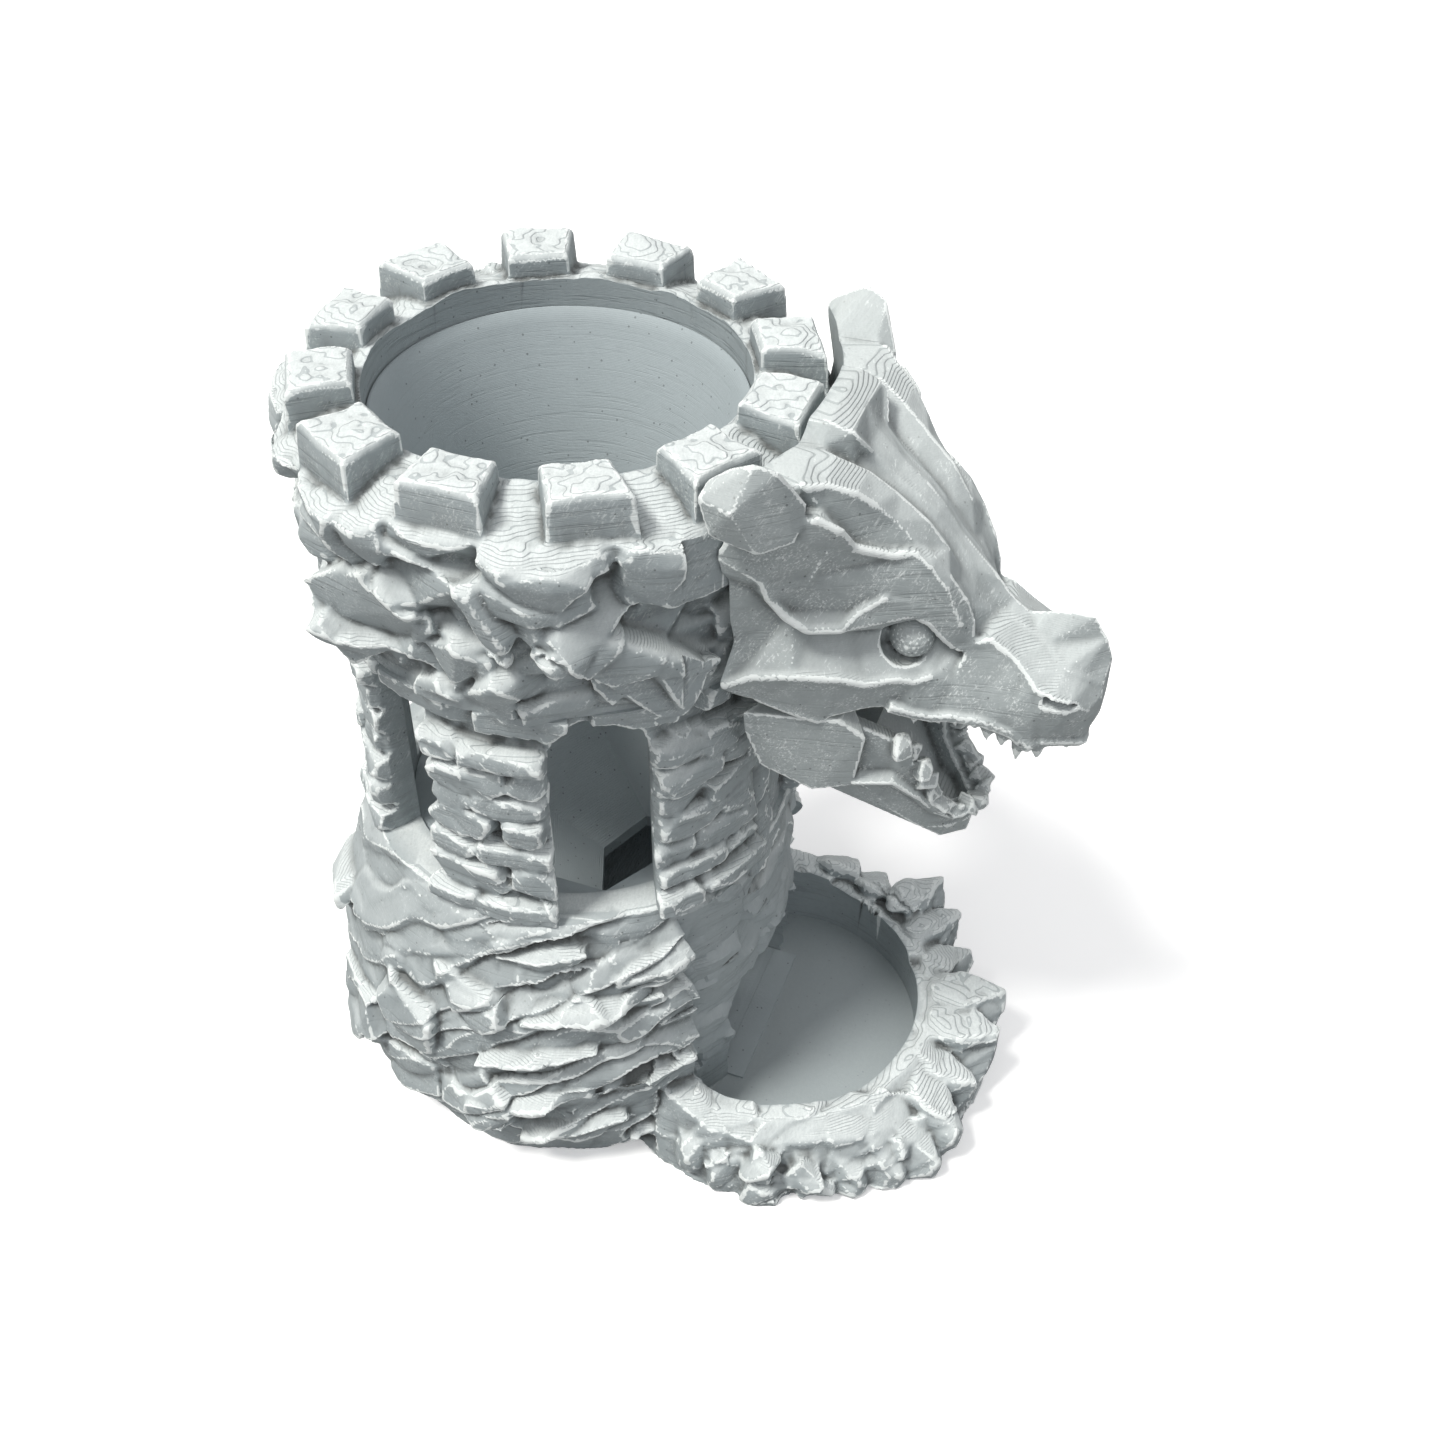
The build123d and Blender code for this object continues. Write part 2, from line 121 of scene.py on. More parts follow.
class Clay:
    """Overlapping closed shapes, in millimetres, that are fused into one printed skin."""

    def __init__(self, seed: int = 0) -> None:
        """Starts an empty lump.

        Args:
            seed: Seed of every random choice made in this lump; cutters make none.
        """
        self.mesh = bmesh.new()
        self.dice = random.Random(seed)

    def _add(self, part: bmesh.types.BMesh) -> None:
        """Moves a finished closed shape into the lump.

        Args:
            part: The shape, which is freed.
        """
        bmesh.ops.recalc_face_normals(part, faces=part.faces)
        moved = bpy.data.meshes.new("part")
        part.to_mesh(moved)
        self.mesh.from_mesh(moved)
        bpy.data.meshes.remove(moved)
        part.free()

    def hull(self, points: list) -> None:
        """Adds the convex solid round some points.

        Args:
            points: Corners in millimetres.
        """
        part = bmesh.new()
        for point in points:
            part.verts.new(point)
        made = bmesh.ops.convex_hull(part, input=part.verts)
        loose = [v for v in made["geom_interior"] + made["geom_unused"] if isinstance(v, bmesh.types.BMVert)]
        bmesh.ops.delete(part, geom=list(set(loose)), context="VERTS")
        self._add(part)

    def mirrored_hull(self, points: list) -> None:
        """Adds a convex solid and its mirror image in X = 0.

        Args:
            points: Corners on the +X side in millimetres.
        """
        self.hull(points)
        self.hull([(-x, y, z) for x, y, z in points])

    def block(
        self, centre: Vector, half: tuple, turn: Matrix, cuts: int = 9, keep: tuple = (0.66, 0.95)
    ) -> None:
        """Adds one stone: a box whose corners and edges are struck off by a chisel.

        Args:
            centre: Middle of the stone.
            half: Half width, half depth and half height.
            turn: Rotation of the stone.
            cuts: How many chisel strokes it gets.
            keep: Least and most of the way out that a stroke may fall.
        """
        part = bmesh.new()
        bmesh.ops.create_cube(part, size=2.0)
        for _ in range(cuts):
            stroke = Vector([self.dice.gauss(0, 1) for _ in range(3)]).normalized()
            reach = sum(abs(v) for v in stroke) * self.dice.uniform(*keep)
            bmesh.ops.bisect_plane(
                part, geom=part.verts[:] + part.edges[:] + part.faces[:],
                plane_co=stroke * reach, plane_no=stroke, clear_outer=True,
            )
        corners = [centre + turn @ Vector([v.co[i] * half[i] for i in range(3)]) for v in part.verts]
        part.free()
        self.hull(corners)

    def turned(self, profile: list, centre_y: float = 0.0, steps: int = 192) -> None:
        """Adds a ring turned from a closed outline.

        Args:
            profile: Points (radius, height) round the outline.
            centre_y: Where the axis stands on Y.
            steps: Segments in the full turn.
        """
        part = bmesh.new()
        corners = [part.verts.new((r, centre_y, z)) for r, z in profile]
        ring = [part.edges.new((a, b)) for a, b in zip(corners, corners[1:] + corners[:1])]
        bmesh.ops.spin(
            part, geom=corners + ring, cent=(0, centre_y, 0), axis=(0, 0, 1), dvec=(0, 0, 0),
            angle=FULL_TURN, steps=steps, use_merge=True, use_duplicate=False,
        )
        bmesh.ops.remove_doubles(part, verts=part.verts, dist=1e-4)
        self._add(part)

    def ball(self, centre: tuple, radius: float) -> None:
        """Adds a ball.

        Args:
            centre: Its middle.
            radius: Its radius.
        """
        part = bmesh.new()
        bmesh.ops.create_icosphere(part, subdivisions=3, radius=radius, matrix=Matrix.Translation(centre))
        self._add(part)

    def tooth(self, root: Vector, tip: Vector, radius: float) -> None:
        """Adds a pointed tooth.

        Args:
            root: Middle of its root.
            tip: Its point.
            radius: Radius of its root.
        """
        along = (tip - root).normalized()
        side = along.orthogonal().normalized()
        other = along.cross(side)
        ring = [root + radius * (side * math.cos(a) + other * math.sin(a)) for a in np.linspace(0, 5.2, 6)]
        belly = [root.lerp(tip, 0.5) + 0.62 * (p - root) for p in ring]
        self.hull(ring + belly + [tip])

    def to_object(self, name: str) -> bpy.types.Object:
        """Ends the lump as an object, still in millimetres.

        Args:
            name: Name of the object.

        Returns:
            The new object.
        """
        mesh = bpy.data.meshes.new(name)
        self.mesh.to_mesh(mesh)
        self.mesh.free()
        piece = bpy.data.objects.new(name, mesh)
        bpy.context.scene.collection.objects.link(piece)
        return piece


def bake_modifiers(piece: bpy.types.Object) -> None:
    """Applies every modifier of a piece to its mesh.

    Args:
        piece: The object.
    """
    graph = bpy.context.evaluated_depsgraph_get()
    graph.update()
    made = bpy.data.meshes.new_from_object(piece.evaluated_get(graph), depsgraph=graph)
    old = piece.data
    piece.modifiers.clear()
    piece.data = made
    bpy.data.meshes.remove(old)
    made.name = piece.name


def fuse(piece: bpy.types.Object, grain: float) -> None:
    """Fuses overlapping shapes into one skin.

    Args:
        piece: The object, in millimetres.
        grain: Size of the finest detail that is kept.
    """
    remesh = piece.modifiers.new("fuse", "REMESH")
    remesh.mode = "VOXEL"
    remesh.voxel_size = grain
    remesh.use_smooth_shade = True
    bake_modifiers(piece)


def carve(piece: bpy.types.Object, cutter: bpy.types.Object) -> None:
    """Takes a cutter's shape out of a piece and removes the cutter.

    Args:
        piece: The object that is cut.
        cutter: The closed shape that is taken away.
    """
    cut = piece.modifiers.new("carve", "BOOLEAN")
    cut.operation = "DIFFERENCE"
    cut.solver = "MANIFOLD"
    cut.object = cutter
    bake_modifiers(piece)
    old = cutter.data
    bpy.data.objects.remove(cutter)
    bpy.data.meshes.remove(old)


def join(piece: bpy.types.Object, extra: bpy.types.Object) -> None:
    """Moves the mesh of one object into another.

    Args:
        piece: The object that keeps both.
        extra: The object that is emptied and removed.
    """
    joined = bmesh.new()
    joined.from_mesh(piece.data)
    joined.from_mesh(extra.data)
    joined.to_mesh(piece.data)
    joined.free()
    old = extra.data
    bpy.data.objects.remove(extra)
    bpy.data.meshes.remove(old)


def half_space(low: float, high: float) -> bpy.types.Object:
    """Makes a wide level slab that cuts a piece off flat.

    Args:
        low: Bottom of the slab in millimetres.
        high: Top of the slab in millimetres.

    Returns:
        The cutter.
    """
    slab = Clay()
    slab.hull([(x, y, z) for x in (-90, 90) for y in (-150, 90) for z in (low, high)])
    return slab.to_object("level_cutter")


def chisel(piece: bpy.types.Object, size: tuple, depth: float, seed: float, where: np.ndarray | None = None,
           tilt: float = 0.9, shelf: float = 0.0, climb: float = 0.0, steep: float = 1.7) -> None:
    """Strikes flat chips with steep steps between them into the skin.

    Args:
        piece: The object, in millimetres.
        size: Size of a chip along X, Y and Z.
        depth: How far one chip may lie above the next.
        seed: Shifts the pattern.
        where: Weight from 0 to 1 of each vertex; all of them when left out.
        tilt: How far a chip may tip.
        shelf: How far each chip's foot juts out, as slate does.
        climb: Millimetres that the chips climb for each millimetre towards the front.
        steep: Slope of the steps.
    """
    mesh = piece.data
    points = points_of(mesh)
    out = neighbour_mean(normals_of(mesh), edges_of(mesh), 14)
    out /= np.maximum(np.linalg.norm(out, axis=1), 1e-6)[:, None]
    weight = np.ones(len(points)) if where is None else where
    shift = Vector((seed * 3.1, seed * 1.7, seed * 2.3))
    chips: dict = {}
    for i in np.flatnonzero(weight > 0.01):
        x, y, z = points[i]
        wobble = noise.noise(Vector((x, y, z)) / 13.0) * 0.35
        risen = (z + climb * y) / size[2]
        place = Vector((x / size[0] + wobble, y / size[1] - wobble, risen + wobble)) + shift
        spread, middles = noise.voronoi(place)
        lowest = 9.0
        for gap, middle in zip(spread, middles):
            key = (round(middle[0], 3), round(middle[1], 3), round(middle[2], 3))
            if key not in chips:
                chips[key] = noise.cell_vector(Vector(middle) * 37.0)
            lean = chips[key]
            off = place - Vector(middle)
            level = lean[2] - 0.5 + tilt * ((lean[0] - 0.5) * off[0] + (lean[1] - 0.5) * off[1]
                                            + (lean[0] - lean[1]) * off[2]) - shelf * off[2]
            lowest = min(lowest, level + steep * (gap - spread[0]))
        points[i] += out[i] * (lowest + 0.25) * depth * weight[i]
    set_points(mesh, points)


def crisp_fields(piece: bpy.types.Object, before: np.ndarray, wear: np.ndarray, hollow: np.ndarray) -> None:
    """Copies wear and hollow from the rough skin to the cut piece, and marks what is still skin.

    Faces that a cutter made are smooth print, so they get no wear and no skin.

    Args:
        piece: The cut object.
        before: Vertex positions of the rough skin.
        wear: Wear of each of them.
        hollow: Hollow of each of them, which sets the painted shade and keeps paint off.
    """
    tree = kdtree.KDTree(len(before))
    for i, point in enumerate(before):
        tree.insert(point, i)
    tree.balance()
    points = points_of(piece.data)
    fields = {name: np.zeros(len(points)) for name in ("edge_wear", "hollow", "skin")}
    for i, point in enumerate(points):
        _, found, gap = tree.find(point)
        if gap < SAME_POINT:
            fields["edge_wear"][i], fields["hollow"][i], fields["skin"][i] = wear[found], hollow[found], 1.0
    for name, values in fields.items():
        if name in piece.data.attributes:
            piece.data.attributes.remove(piece.data.attributes[name])
        add_field(piece.data, name, values)


def points_of(mesh: bpy.types.Mesh) -> np.ndarray:
    """Vertex positions of a mesh.

    Args:
        mesh: The mesh.

    Returns:
        One row for each vertex.
    """
    flat = np.empty(len(mesh.vertices) * 3)
    mesh.vertices.foreach_get("co", flat)
    return flat.reshape(-1, 3)


def normals_of(mesh: bpy.types.Mesh) -> np.ndarray:
    """Outward directions of a mesh's vertices.

    Args:
        mesh: The mesh.

    Returns:
        One row for each vertex.
    """
    flat = np.empty(len(mesh.vertices) * 3)
    mesh.vertex_normals.foreach_get("vector", flat)
    return flat.reshape(-1, 3)


def edges_of(mesh: bpy.types.Mesh) -> np.ndarray:
    """Vertex numbers at the two ends of a mesh's edges.

    Args:
        mesh: The mesh.

    Returns:
        One row for each edge.
    """
    flat = np.empty(len(mesh.edges) * 2, dtype=np.int64)
    mesh.edges.foreach_get("vertices", flat)
    return flat.reshape(-1, 2)


def set_points(mesh: bpy.types.Mesh, points: np.ndarray) -> None:
    """Writes vertex positions back to a mesh.

    Args:
        mesh: The mesh.
        points: One row for each vertex.
    """
    mesh.vertices.foreach_set("co", points.ravel())
    mesh.update()


def neighbour_mean(points: np.ndarray, edges: np.ndarray, rounds: int) -> np.ndarray:
    """Averages each vertex with its neighbours, several times over.

    Args:
        points: Rows of positions.
        edges: Rows of two vertex numbers.
        rounds: How many times.

    Returns:
        The smoothed rows.
    """
    first, second = edges[:, 0], edges[:, 1]
    count = len(points)
    degree = np.bincount(first, minlength=count) + np.bincount(second, minlength=count)
    degree = np.maximum(degree, 1)
    for _ in range(rounds):
        total = np.empty_like(points)
        for axis in range(points.shape[1]):
            column = points[:, axis]
            total[:, axis] = np.bincount(first, column[second], count) + np.bincount(second, column[first],
                count)
        points = 0.35 * points + 0.65 * total / degree[:, None]
    return points


def add_field(mesh: bpy.types.Mesh, name: str, values: np.ndarray) -> None:
    """Stores one number for each vertex.

    Args:
        mesh: The mesh.
        name: Name of the attribute.
        values: One value for each vertex.
    """
    field = mesh.attributes.new(name, "FLOAT", "POINT")
    field.data.foreach_set("value", values.astype(np.float32))


def read_relief(piece: bpy.types.Object, grain: float = 0.6) -> tuple:
    """Finds where a dry brush touches, and which cracks and recesses get painted shade, from the shape alone.

    Args:
        piece: The object, in millimetres.
        grain: Size of its finest detail.

    Returns:
        Positions, wear (high on ridges) and hollow (high in cracks and recesses, which get painted shade and
        less paint) of the vertices.
    """
    mesh = piece.data
    points, edges, normals = points_of(mesh), edges_of(mesh), normals_of(mesh)
    near = neighbour_mean(points, edges, 1)
    mid = neighbour_mean(near, edges, 6)
    far = neighbour_mean(mid, edges, 60)
    sharp = np.einsum("ij,ij->i", points - near, normals)
    ridge = np.einsum("ij,ij->i", points - mid, normals)
    form = np.einsum("ij,ij->i", points - far, normals)
    # The brush catches crisp edges most, then blunt ridges, and both more where the whole form stands out.
    crisp = np.clip(sharp / (0.09 * grain) - 0.25, 0, 1) * 0.8
    blunt = np.clip(ridge / (0.8 * grain), 0, 1) * 0.3
    standing_out = 0.4 + 0.6 * np.clip(0.45 + form / 1.2, 0, 1)
    wear = (crisp + blunt) * standing_out
    # Narrow cracks and broad recesses both get painted shade, and the brush reaches them less.
    cracks = np.clip(-ridge / 0.28, 0, 1) * 0.7
    recesses = np.clip(-form / 1.3, 0, 1) * 0.75
    return points, np.clip(wear, 0, 1), np.clip(cracks + recesses, 0, 1)


def thin_out(piece: bpy.types.Object) -> None:
    """Collapses faces that a flat area doesn't need, down to the limit for one piece.

    Args:
        piece: The object.
    """
    piece.data.calc_loop_triangles()
    count = len(piece.data.loop_triangles)
    if count > TRIANGLE_LIMIT:
        thin = piece.modifiers.new("thin", "DECIMATE")
        thin.ratio = TRIANGLE_LIMIT / count
        bake_modifiers(piece)


def hand_over(piece: bpy.types.Object, body: Body, finish: bpy.types.Material,
              replaced: tuple, crease: float = 42.0) -> None:
    """Scales a piece to metres, dresses it and ties it to its body.

    Args:
        piece: The object, in millimetres.
        body: The body that it rides on.
        finish: Its material.
        replaced: CAD nodes that it stands for.
        crease: Angle in degrees above which an edge is drawn sharp.
    """
    thin_out(piece)
    mesh = piece.data
    points = points_of(mesh)
    points[:, 2] = np.maximum(points[:, 2], 0.0)
    set_points(mesh, points)
    mesh.transform(Matrix.Scale(MM, 4))
    mesh.shade_smooth()
    mesh.set_sharp_from_angle(angle=math.radians(crease))
    mesh.materials.clear()
    mesh.materials.append(finish)
    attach(piece, body.value)
    if replaced:
        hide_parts(*replaced)
    LOG.info("%s: %d vertices on %s", piece.name, len(mesh.vertices), body.value)


# ---- finishes -------------------------------------------------------------------------------


def linear(code: str) -> tuple:
    """Turns an sRGB hex colour into linear values with alpha.

    Args:
        code: Six hex digits.

    Returns:
        Four numbers from 0 to 1.
    """
    parts = [int(code[i:i + 2], 16) / 255 for i in (0, 2, 4)]
    return tuple(p / 12.92 if p <= 0.04045 else ((p + 0.055) / 1.055) ** 2.4 for p in parts) + (1.0,)


def add_node(tree: bpy.types.NodeTree, kind: str, inputs: dict | tuple = (),
             **settings: object) -> bpy.types.Node:
    """Adds one shader node.

    Args:
        tree: The node tree.
        kind: Type name of the node, after "ShaderNode".
        inputs: Values, or the outputs that feed the sockets, in order or by name.
        settings: Properties of the node.

    Returns:
        The new node.
    """
    made = tree.nodes.new("ShaderNode" + kind)
    for key, value in settings.items():
        setattr(made, key, value)
    for key, value in inputs.items() if isinstance(inputs, dict) else enumerate(inputs):
        if isinstance(value, bpy.types.NodeSocket):
            tree.links.new(value, made.inputs[key])
        else:
            made.inputs[key].default_value = value
    return made


@dataclass(frozen=True)
class PrintedFinish:
    """FDM-printed PLA in cool grey, bare or dry-brushed near-white.

    The plastic is matte with fine level layer lines. The brush leaves chalky paint on ridges and
    thin crossing streaks beside them, and none in the cracks, which get painted shade in a darker, warmer
    grey.
    """

    name: str
    plastic: str = "8A9396"
    plastic_light: str = "A4ACAE"
    # dark grey of the specks and layer bands, and of the painted shade in cracks and recesses
    dark_and_crack_shade: str = "3E403E"
    paint: str = "E3E8E7"
    brush: float = 1.0             # how much paint is left on the piece at all
    top_dust: float = 0.72         # paint on surfaces that look up
    film: float = 0.5              # stray strokes over the flat skin
    bands: float = 0.16            # darkness of the bands that uneven layers leave on walls
    edge_gain: float = 2.0         # how readily an edge takes paint
    layer_mm: float = 0.3          # real layers are 0.2 mm; a little thicker so that they show
    ripple_mm: float = 0.016       # how far a layer's round edge stands out
    speck_mm: float = 2.2          # spacing of the dark specks
    roughness: float = 0.62

    def _patterns(self, tree: bpy.types.NodeTree, place: bpy.types.NodeSocket) -> dict:
        """Adds the noise that the print and the brush work are broken up with.

        Args:
            tree: The node tree.
            place: Object coordinates.

        Returns:
            The noise outputs by name.
        """
        even, level = (0, 0, 0), (1, 1, 1)
        brush_stroke = (1, 1, 9)       # 0.4 mm wide and 4 mm long
        layer_band = (26, 26, 1)       # 0.6 mm tall and 16 mm long
        made = {}
        for name, size_mm, detail, rough, turn, stretch in (
            ("mottle", 1.1, 2.0, 0.55, even, level),
            ("cloud", 10.0, 3.0, 0.55, even, level),
            ("patch", 5.0, 2.0, 0.55, even, level),
            ("tooth", 0.6, 3.0, 0.55, even, level),
            ("stroke", 0.42, 3.0, 0.6, (0.7, 0.35, 0.6), brush_stroke),
            ("cross_stroke", 0.42, 3.0, 0.6, (-0.8, 1.0, -0.5), brush_stroke),
            ("uneven_layer", 0.62, 2.0, 0.7, even, layer_band),
        ):
            mapped = add_node(
                tree, "Mapping", {"Vector": place, "Rotation": turn, "Scale": stretch}, vector_type="TEXTURE"
            ).outputs[0]
            made[name] = add_node(
                tree, "TexNoise",
                {"Vector": mapped, "Scale": 1 / (size_mm * MM), "Detail": detail, "Roughness": rough},
            ).outputs["Fac"]
        return made

    def _sums(self) -> tuple:
        """Lists the sums behind the finish, in order.

        Returns:
            Name, operation and terms of each sum. STEP is a soft step from 0 at one term to 1 at the next.
        """
        plastic = (
            ("cloud_share", "MULTIPLY", "cloud", 0.6),
            ("shade", "MULTIPLY_ADD", "mottle", 0.5, "cloud_share"),
            ("speck_hit", "LESS_THAN", "speck_gap", 0.10),
            ("speck", "MULTIPLY", "speck_hit", 0.5),
            # Painted shade: cracks and recesses are darkened towards the dark grey.
            ("dark_and_crack_shade", "MULTIPLY", "hollow", 0.9),
        )
        # The brush touches ridges first, where strokes break the paint up.
        ridges = (
            ("strong_wear", "MULTIPLY", "edge_wear", self.edge_gain),
            ("wear", "MINIMUM", "strong_wear", 1.0),
            ("strokes", "MAXIMUM", "stroke", "cross_stroke"),
            ("stroke_share", "MULTIPLY", "strokes", 0.85),
            ("touch", "MULTIPLY_ADD", "wear", 1.05, "stroke_share"),
            ("patch_share", "MULTIPLY_ADD", "patch", 0.5, -0.25),
            ("load", "ADD", "touch", "patch_share"),
            ("loaded", "STEP", "load", 0.80, 1.45),
            ("worn", "STEP", "wear", 0.05, 0.4),
            ("ridge", "MULTIPLY", "loaded", "worn"),
        )
        # Some strokes stray over the skin, and a thin dust stays where it looks up.
        strays = (
            ("stray_stroke", "STEP", "strokes", 0.52, 0.74),
            ("stray_patch", "STEP", "patch", 0.35, 0.65),
            ("stray", "MULTIPLY", "stray_stroke", "stray_patch"),
            ("film_share", "MULTIPLY", "skin", self.film),
            ("film", "MULTIPLY", "stray", "film_share"),
            ("looks_up", "STEP", "upward", 0.10, 0.9),
            ("dust_stroke", "MULTIPLY_ADD", "strokes", 1.1, 0.25),
            ("dust_fall", "MULTIPLY", "looks_up", "dust_stroke"),
            ("dust_share", "MULTIPLY_ADD", "skin", 0.7 * self.top_dust, 0.3 * self.top_dust),
            ("dust", "MULTIPLY", "dust_fall", "dust_share"),
        )
        paint = (
            ("ridge_or_film", "MAXIMUM", "ridge", "film"),
            ("brushed", "MAXIMUM", "ridge_or_film", "dust"),
            ("missed", "MULTIPLY", "hollow", 0.8),
            ("reached", "SUBTRACT", 1.0, "missed"),
            ("laid", "MULTIPLY", "brushed", "reached"),
            ("wanted", "MULTIPLY", "laid", self.brush),
            ("painted", "MINIMUM", "wanted", 0.88),
            ("rough", "MULTIPLY_ADD", "painted", 0.25, self.roughness),
        )
        # Layers spread out as level steps with a dark line each on nearly flat faces; walls get bands.
        layers = (
            ("layers", "DIVIDE", "height", self.layer_mm * MM),
            ("through_layer", "FRACT", "layers"),
            ("up_or_down", "ABSOLUTE", "upward"),
            ("flat", "STEP", "up_or_down", 0.72, 0.97),
            ("step_foot", "LESS_THAN", "through_layer", 0.16),
            ("step_line", "MULTIPLY", "step_foot", "flat"),
            ("line_shade", "MULTIPLY", "step_line", 0.5),
            ("band_found", "STEP", "uneven_layer", 0.52, 0.66),
            ("wall", "STEP", "up_or_down", 0.55, 0.15),
            ("band", "MULTIPLY", "band_found", "wall"),
            ("band_shade", "MULTIPLY", "band", self.bands),
        )
        relief = (
            ("riser", "STEP", "through_layer", 0.0, 0.3),
            ("riser_height", "MULTIPLY", "flat", 0.17 * MM),
            ("steps", "MULTIPLY", "riser", "riser_height"),
            ("ripple", "PINGPONG", "layers", 0.5),
            ("ripples", "MULTIPLY", "ripple", 2 * self.ripple_mm * MM),
            ("tooth_height", "MULTIPLY", "tooth", 0.06 * MM),
            ("dented", "MULTIPLY_ADD", "band", -0.07 * MM, "tooth_height"),
            ("stepped", "ADD", "steps", "ripples"),
            ("relief", "ADD", "stepped", "dented"),
        )
        return plastic + ridges + strays + paint + layers + relief

    def build(self) -> bpy.types.Material:
        """Makes the material.

        Returns:
            The new material.
        """
        material = bpy.data.materials.new(self.name)
        material.use_nodes = True
        tree = material.node_tree
        tree.nodes.clear()
        place = add_node(tree, "TexCoord").outputs["Object"]
        normal = add_node(tree, "NewGeometry").outputs["Normal"]
        made = self._patterns(tree, place)
        made["height"] = add_node(tree, "SeparateXYZ", (place,)).outputs[2]
        made["upward"] = add_node(tree, "SeparateXYZ", (normal,)).outputs[2]
        made["speck_gap"] = add_node(
            tree, "TexVoronoi", {"Vector": place, "Scale": 1 / (self.speck_mm * MM)}, feature="F1"
        ).outputs["Distance"]
        for field in ("edge_wear", "hollow", "skin"):
            made[field] = add_node(tree, "Attribute", attribute_name=field).outputs["Fac"]
        for name, operation, *terms in self._sums():
            inputs = tuple(made.get(term, term) for term in terms)
            if operation == "STEP":
                made[name] = add_node(tree, "MapRange", inputs, interpolation_type="SMOOTHSTEP").outputs[0]
            else:
                made[name] = add_node(tree, "Math", inputs, operation=operation).outputs[0]

        # Mottled plastic, then dark specks, painted shade in cracks and recesses, paint, layer lines and
        # layer bands.
        colour = linear(self.plastic)
        for factor, over in (
            ("shade", self.plastic_light), ("speck", self.dark_and_crack_shade), ("dark_and_crack_shade", self.dark_and_crack_shade),
            ("painted", self.paint), ("line_shade", self.plastic), ("band_shade", self.dark_and_crack_shade),
        ):
            colour = add_node(
                tree, "Mix", {"Factor": made[factor], "A": colour, "B": linear(over)}, data_type="RGBA"
            ).outputs["Result"]
        bump = add_node(tree, "Bump", {"Strength": 0.85, "Distance": 1.0,
            "Height": made["relief"]}).outputs[0]
        shader = add_node(tree, "BsdfPrincipled", {
            "IOR": 1.46, "Specular IOR Level": 0.4,
            "Base Color": colour, "Roughness": made["rough"], "Normal": bump,
        })
        add_node(tree, "OutputMaterial", {"Surface": shader.outputs[0]})
        return material


# ---- tower ----------------------------------------------------------------------------------


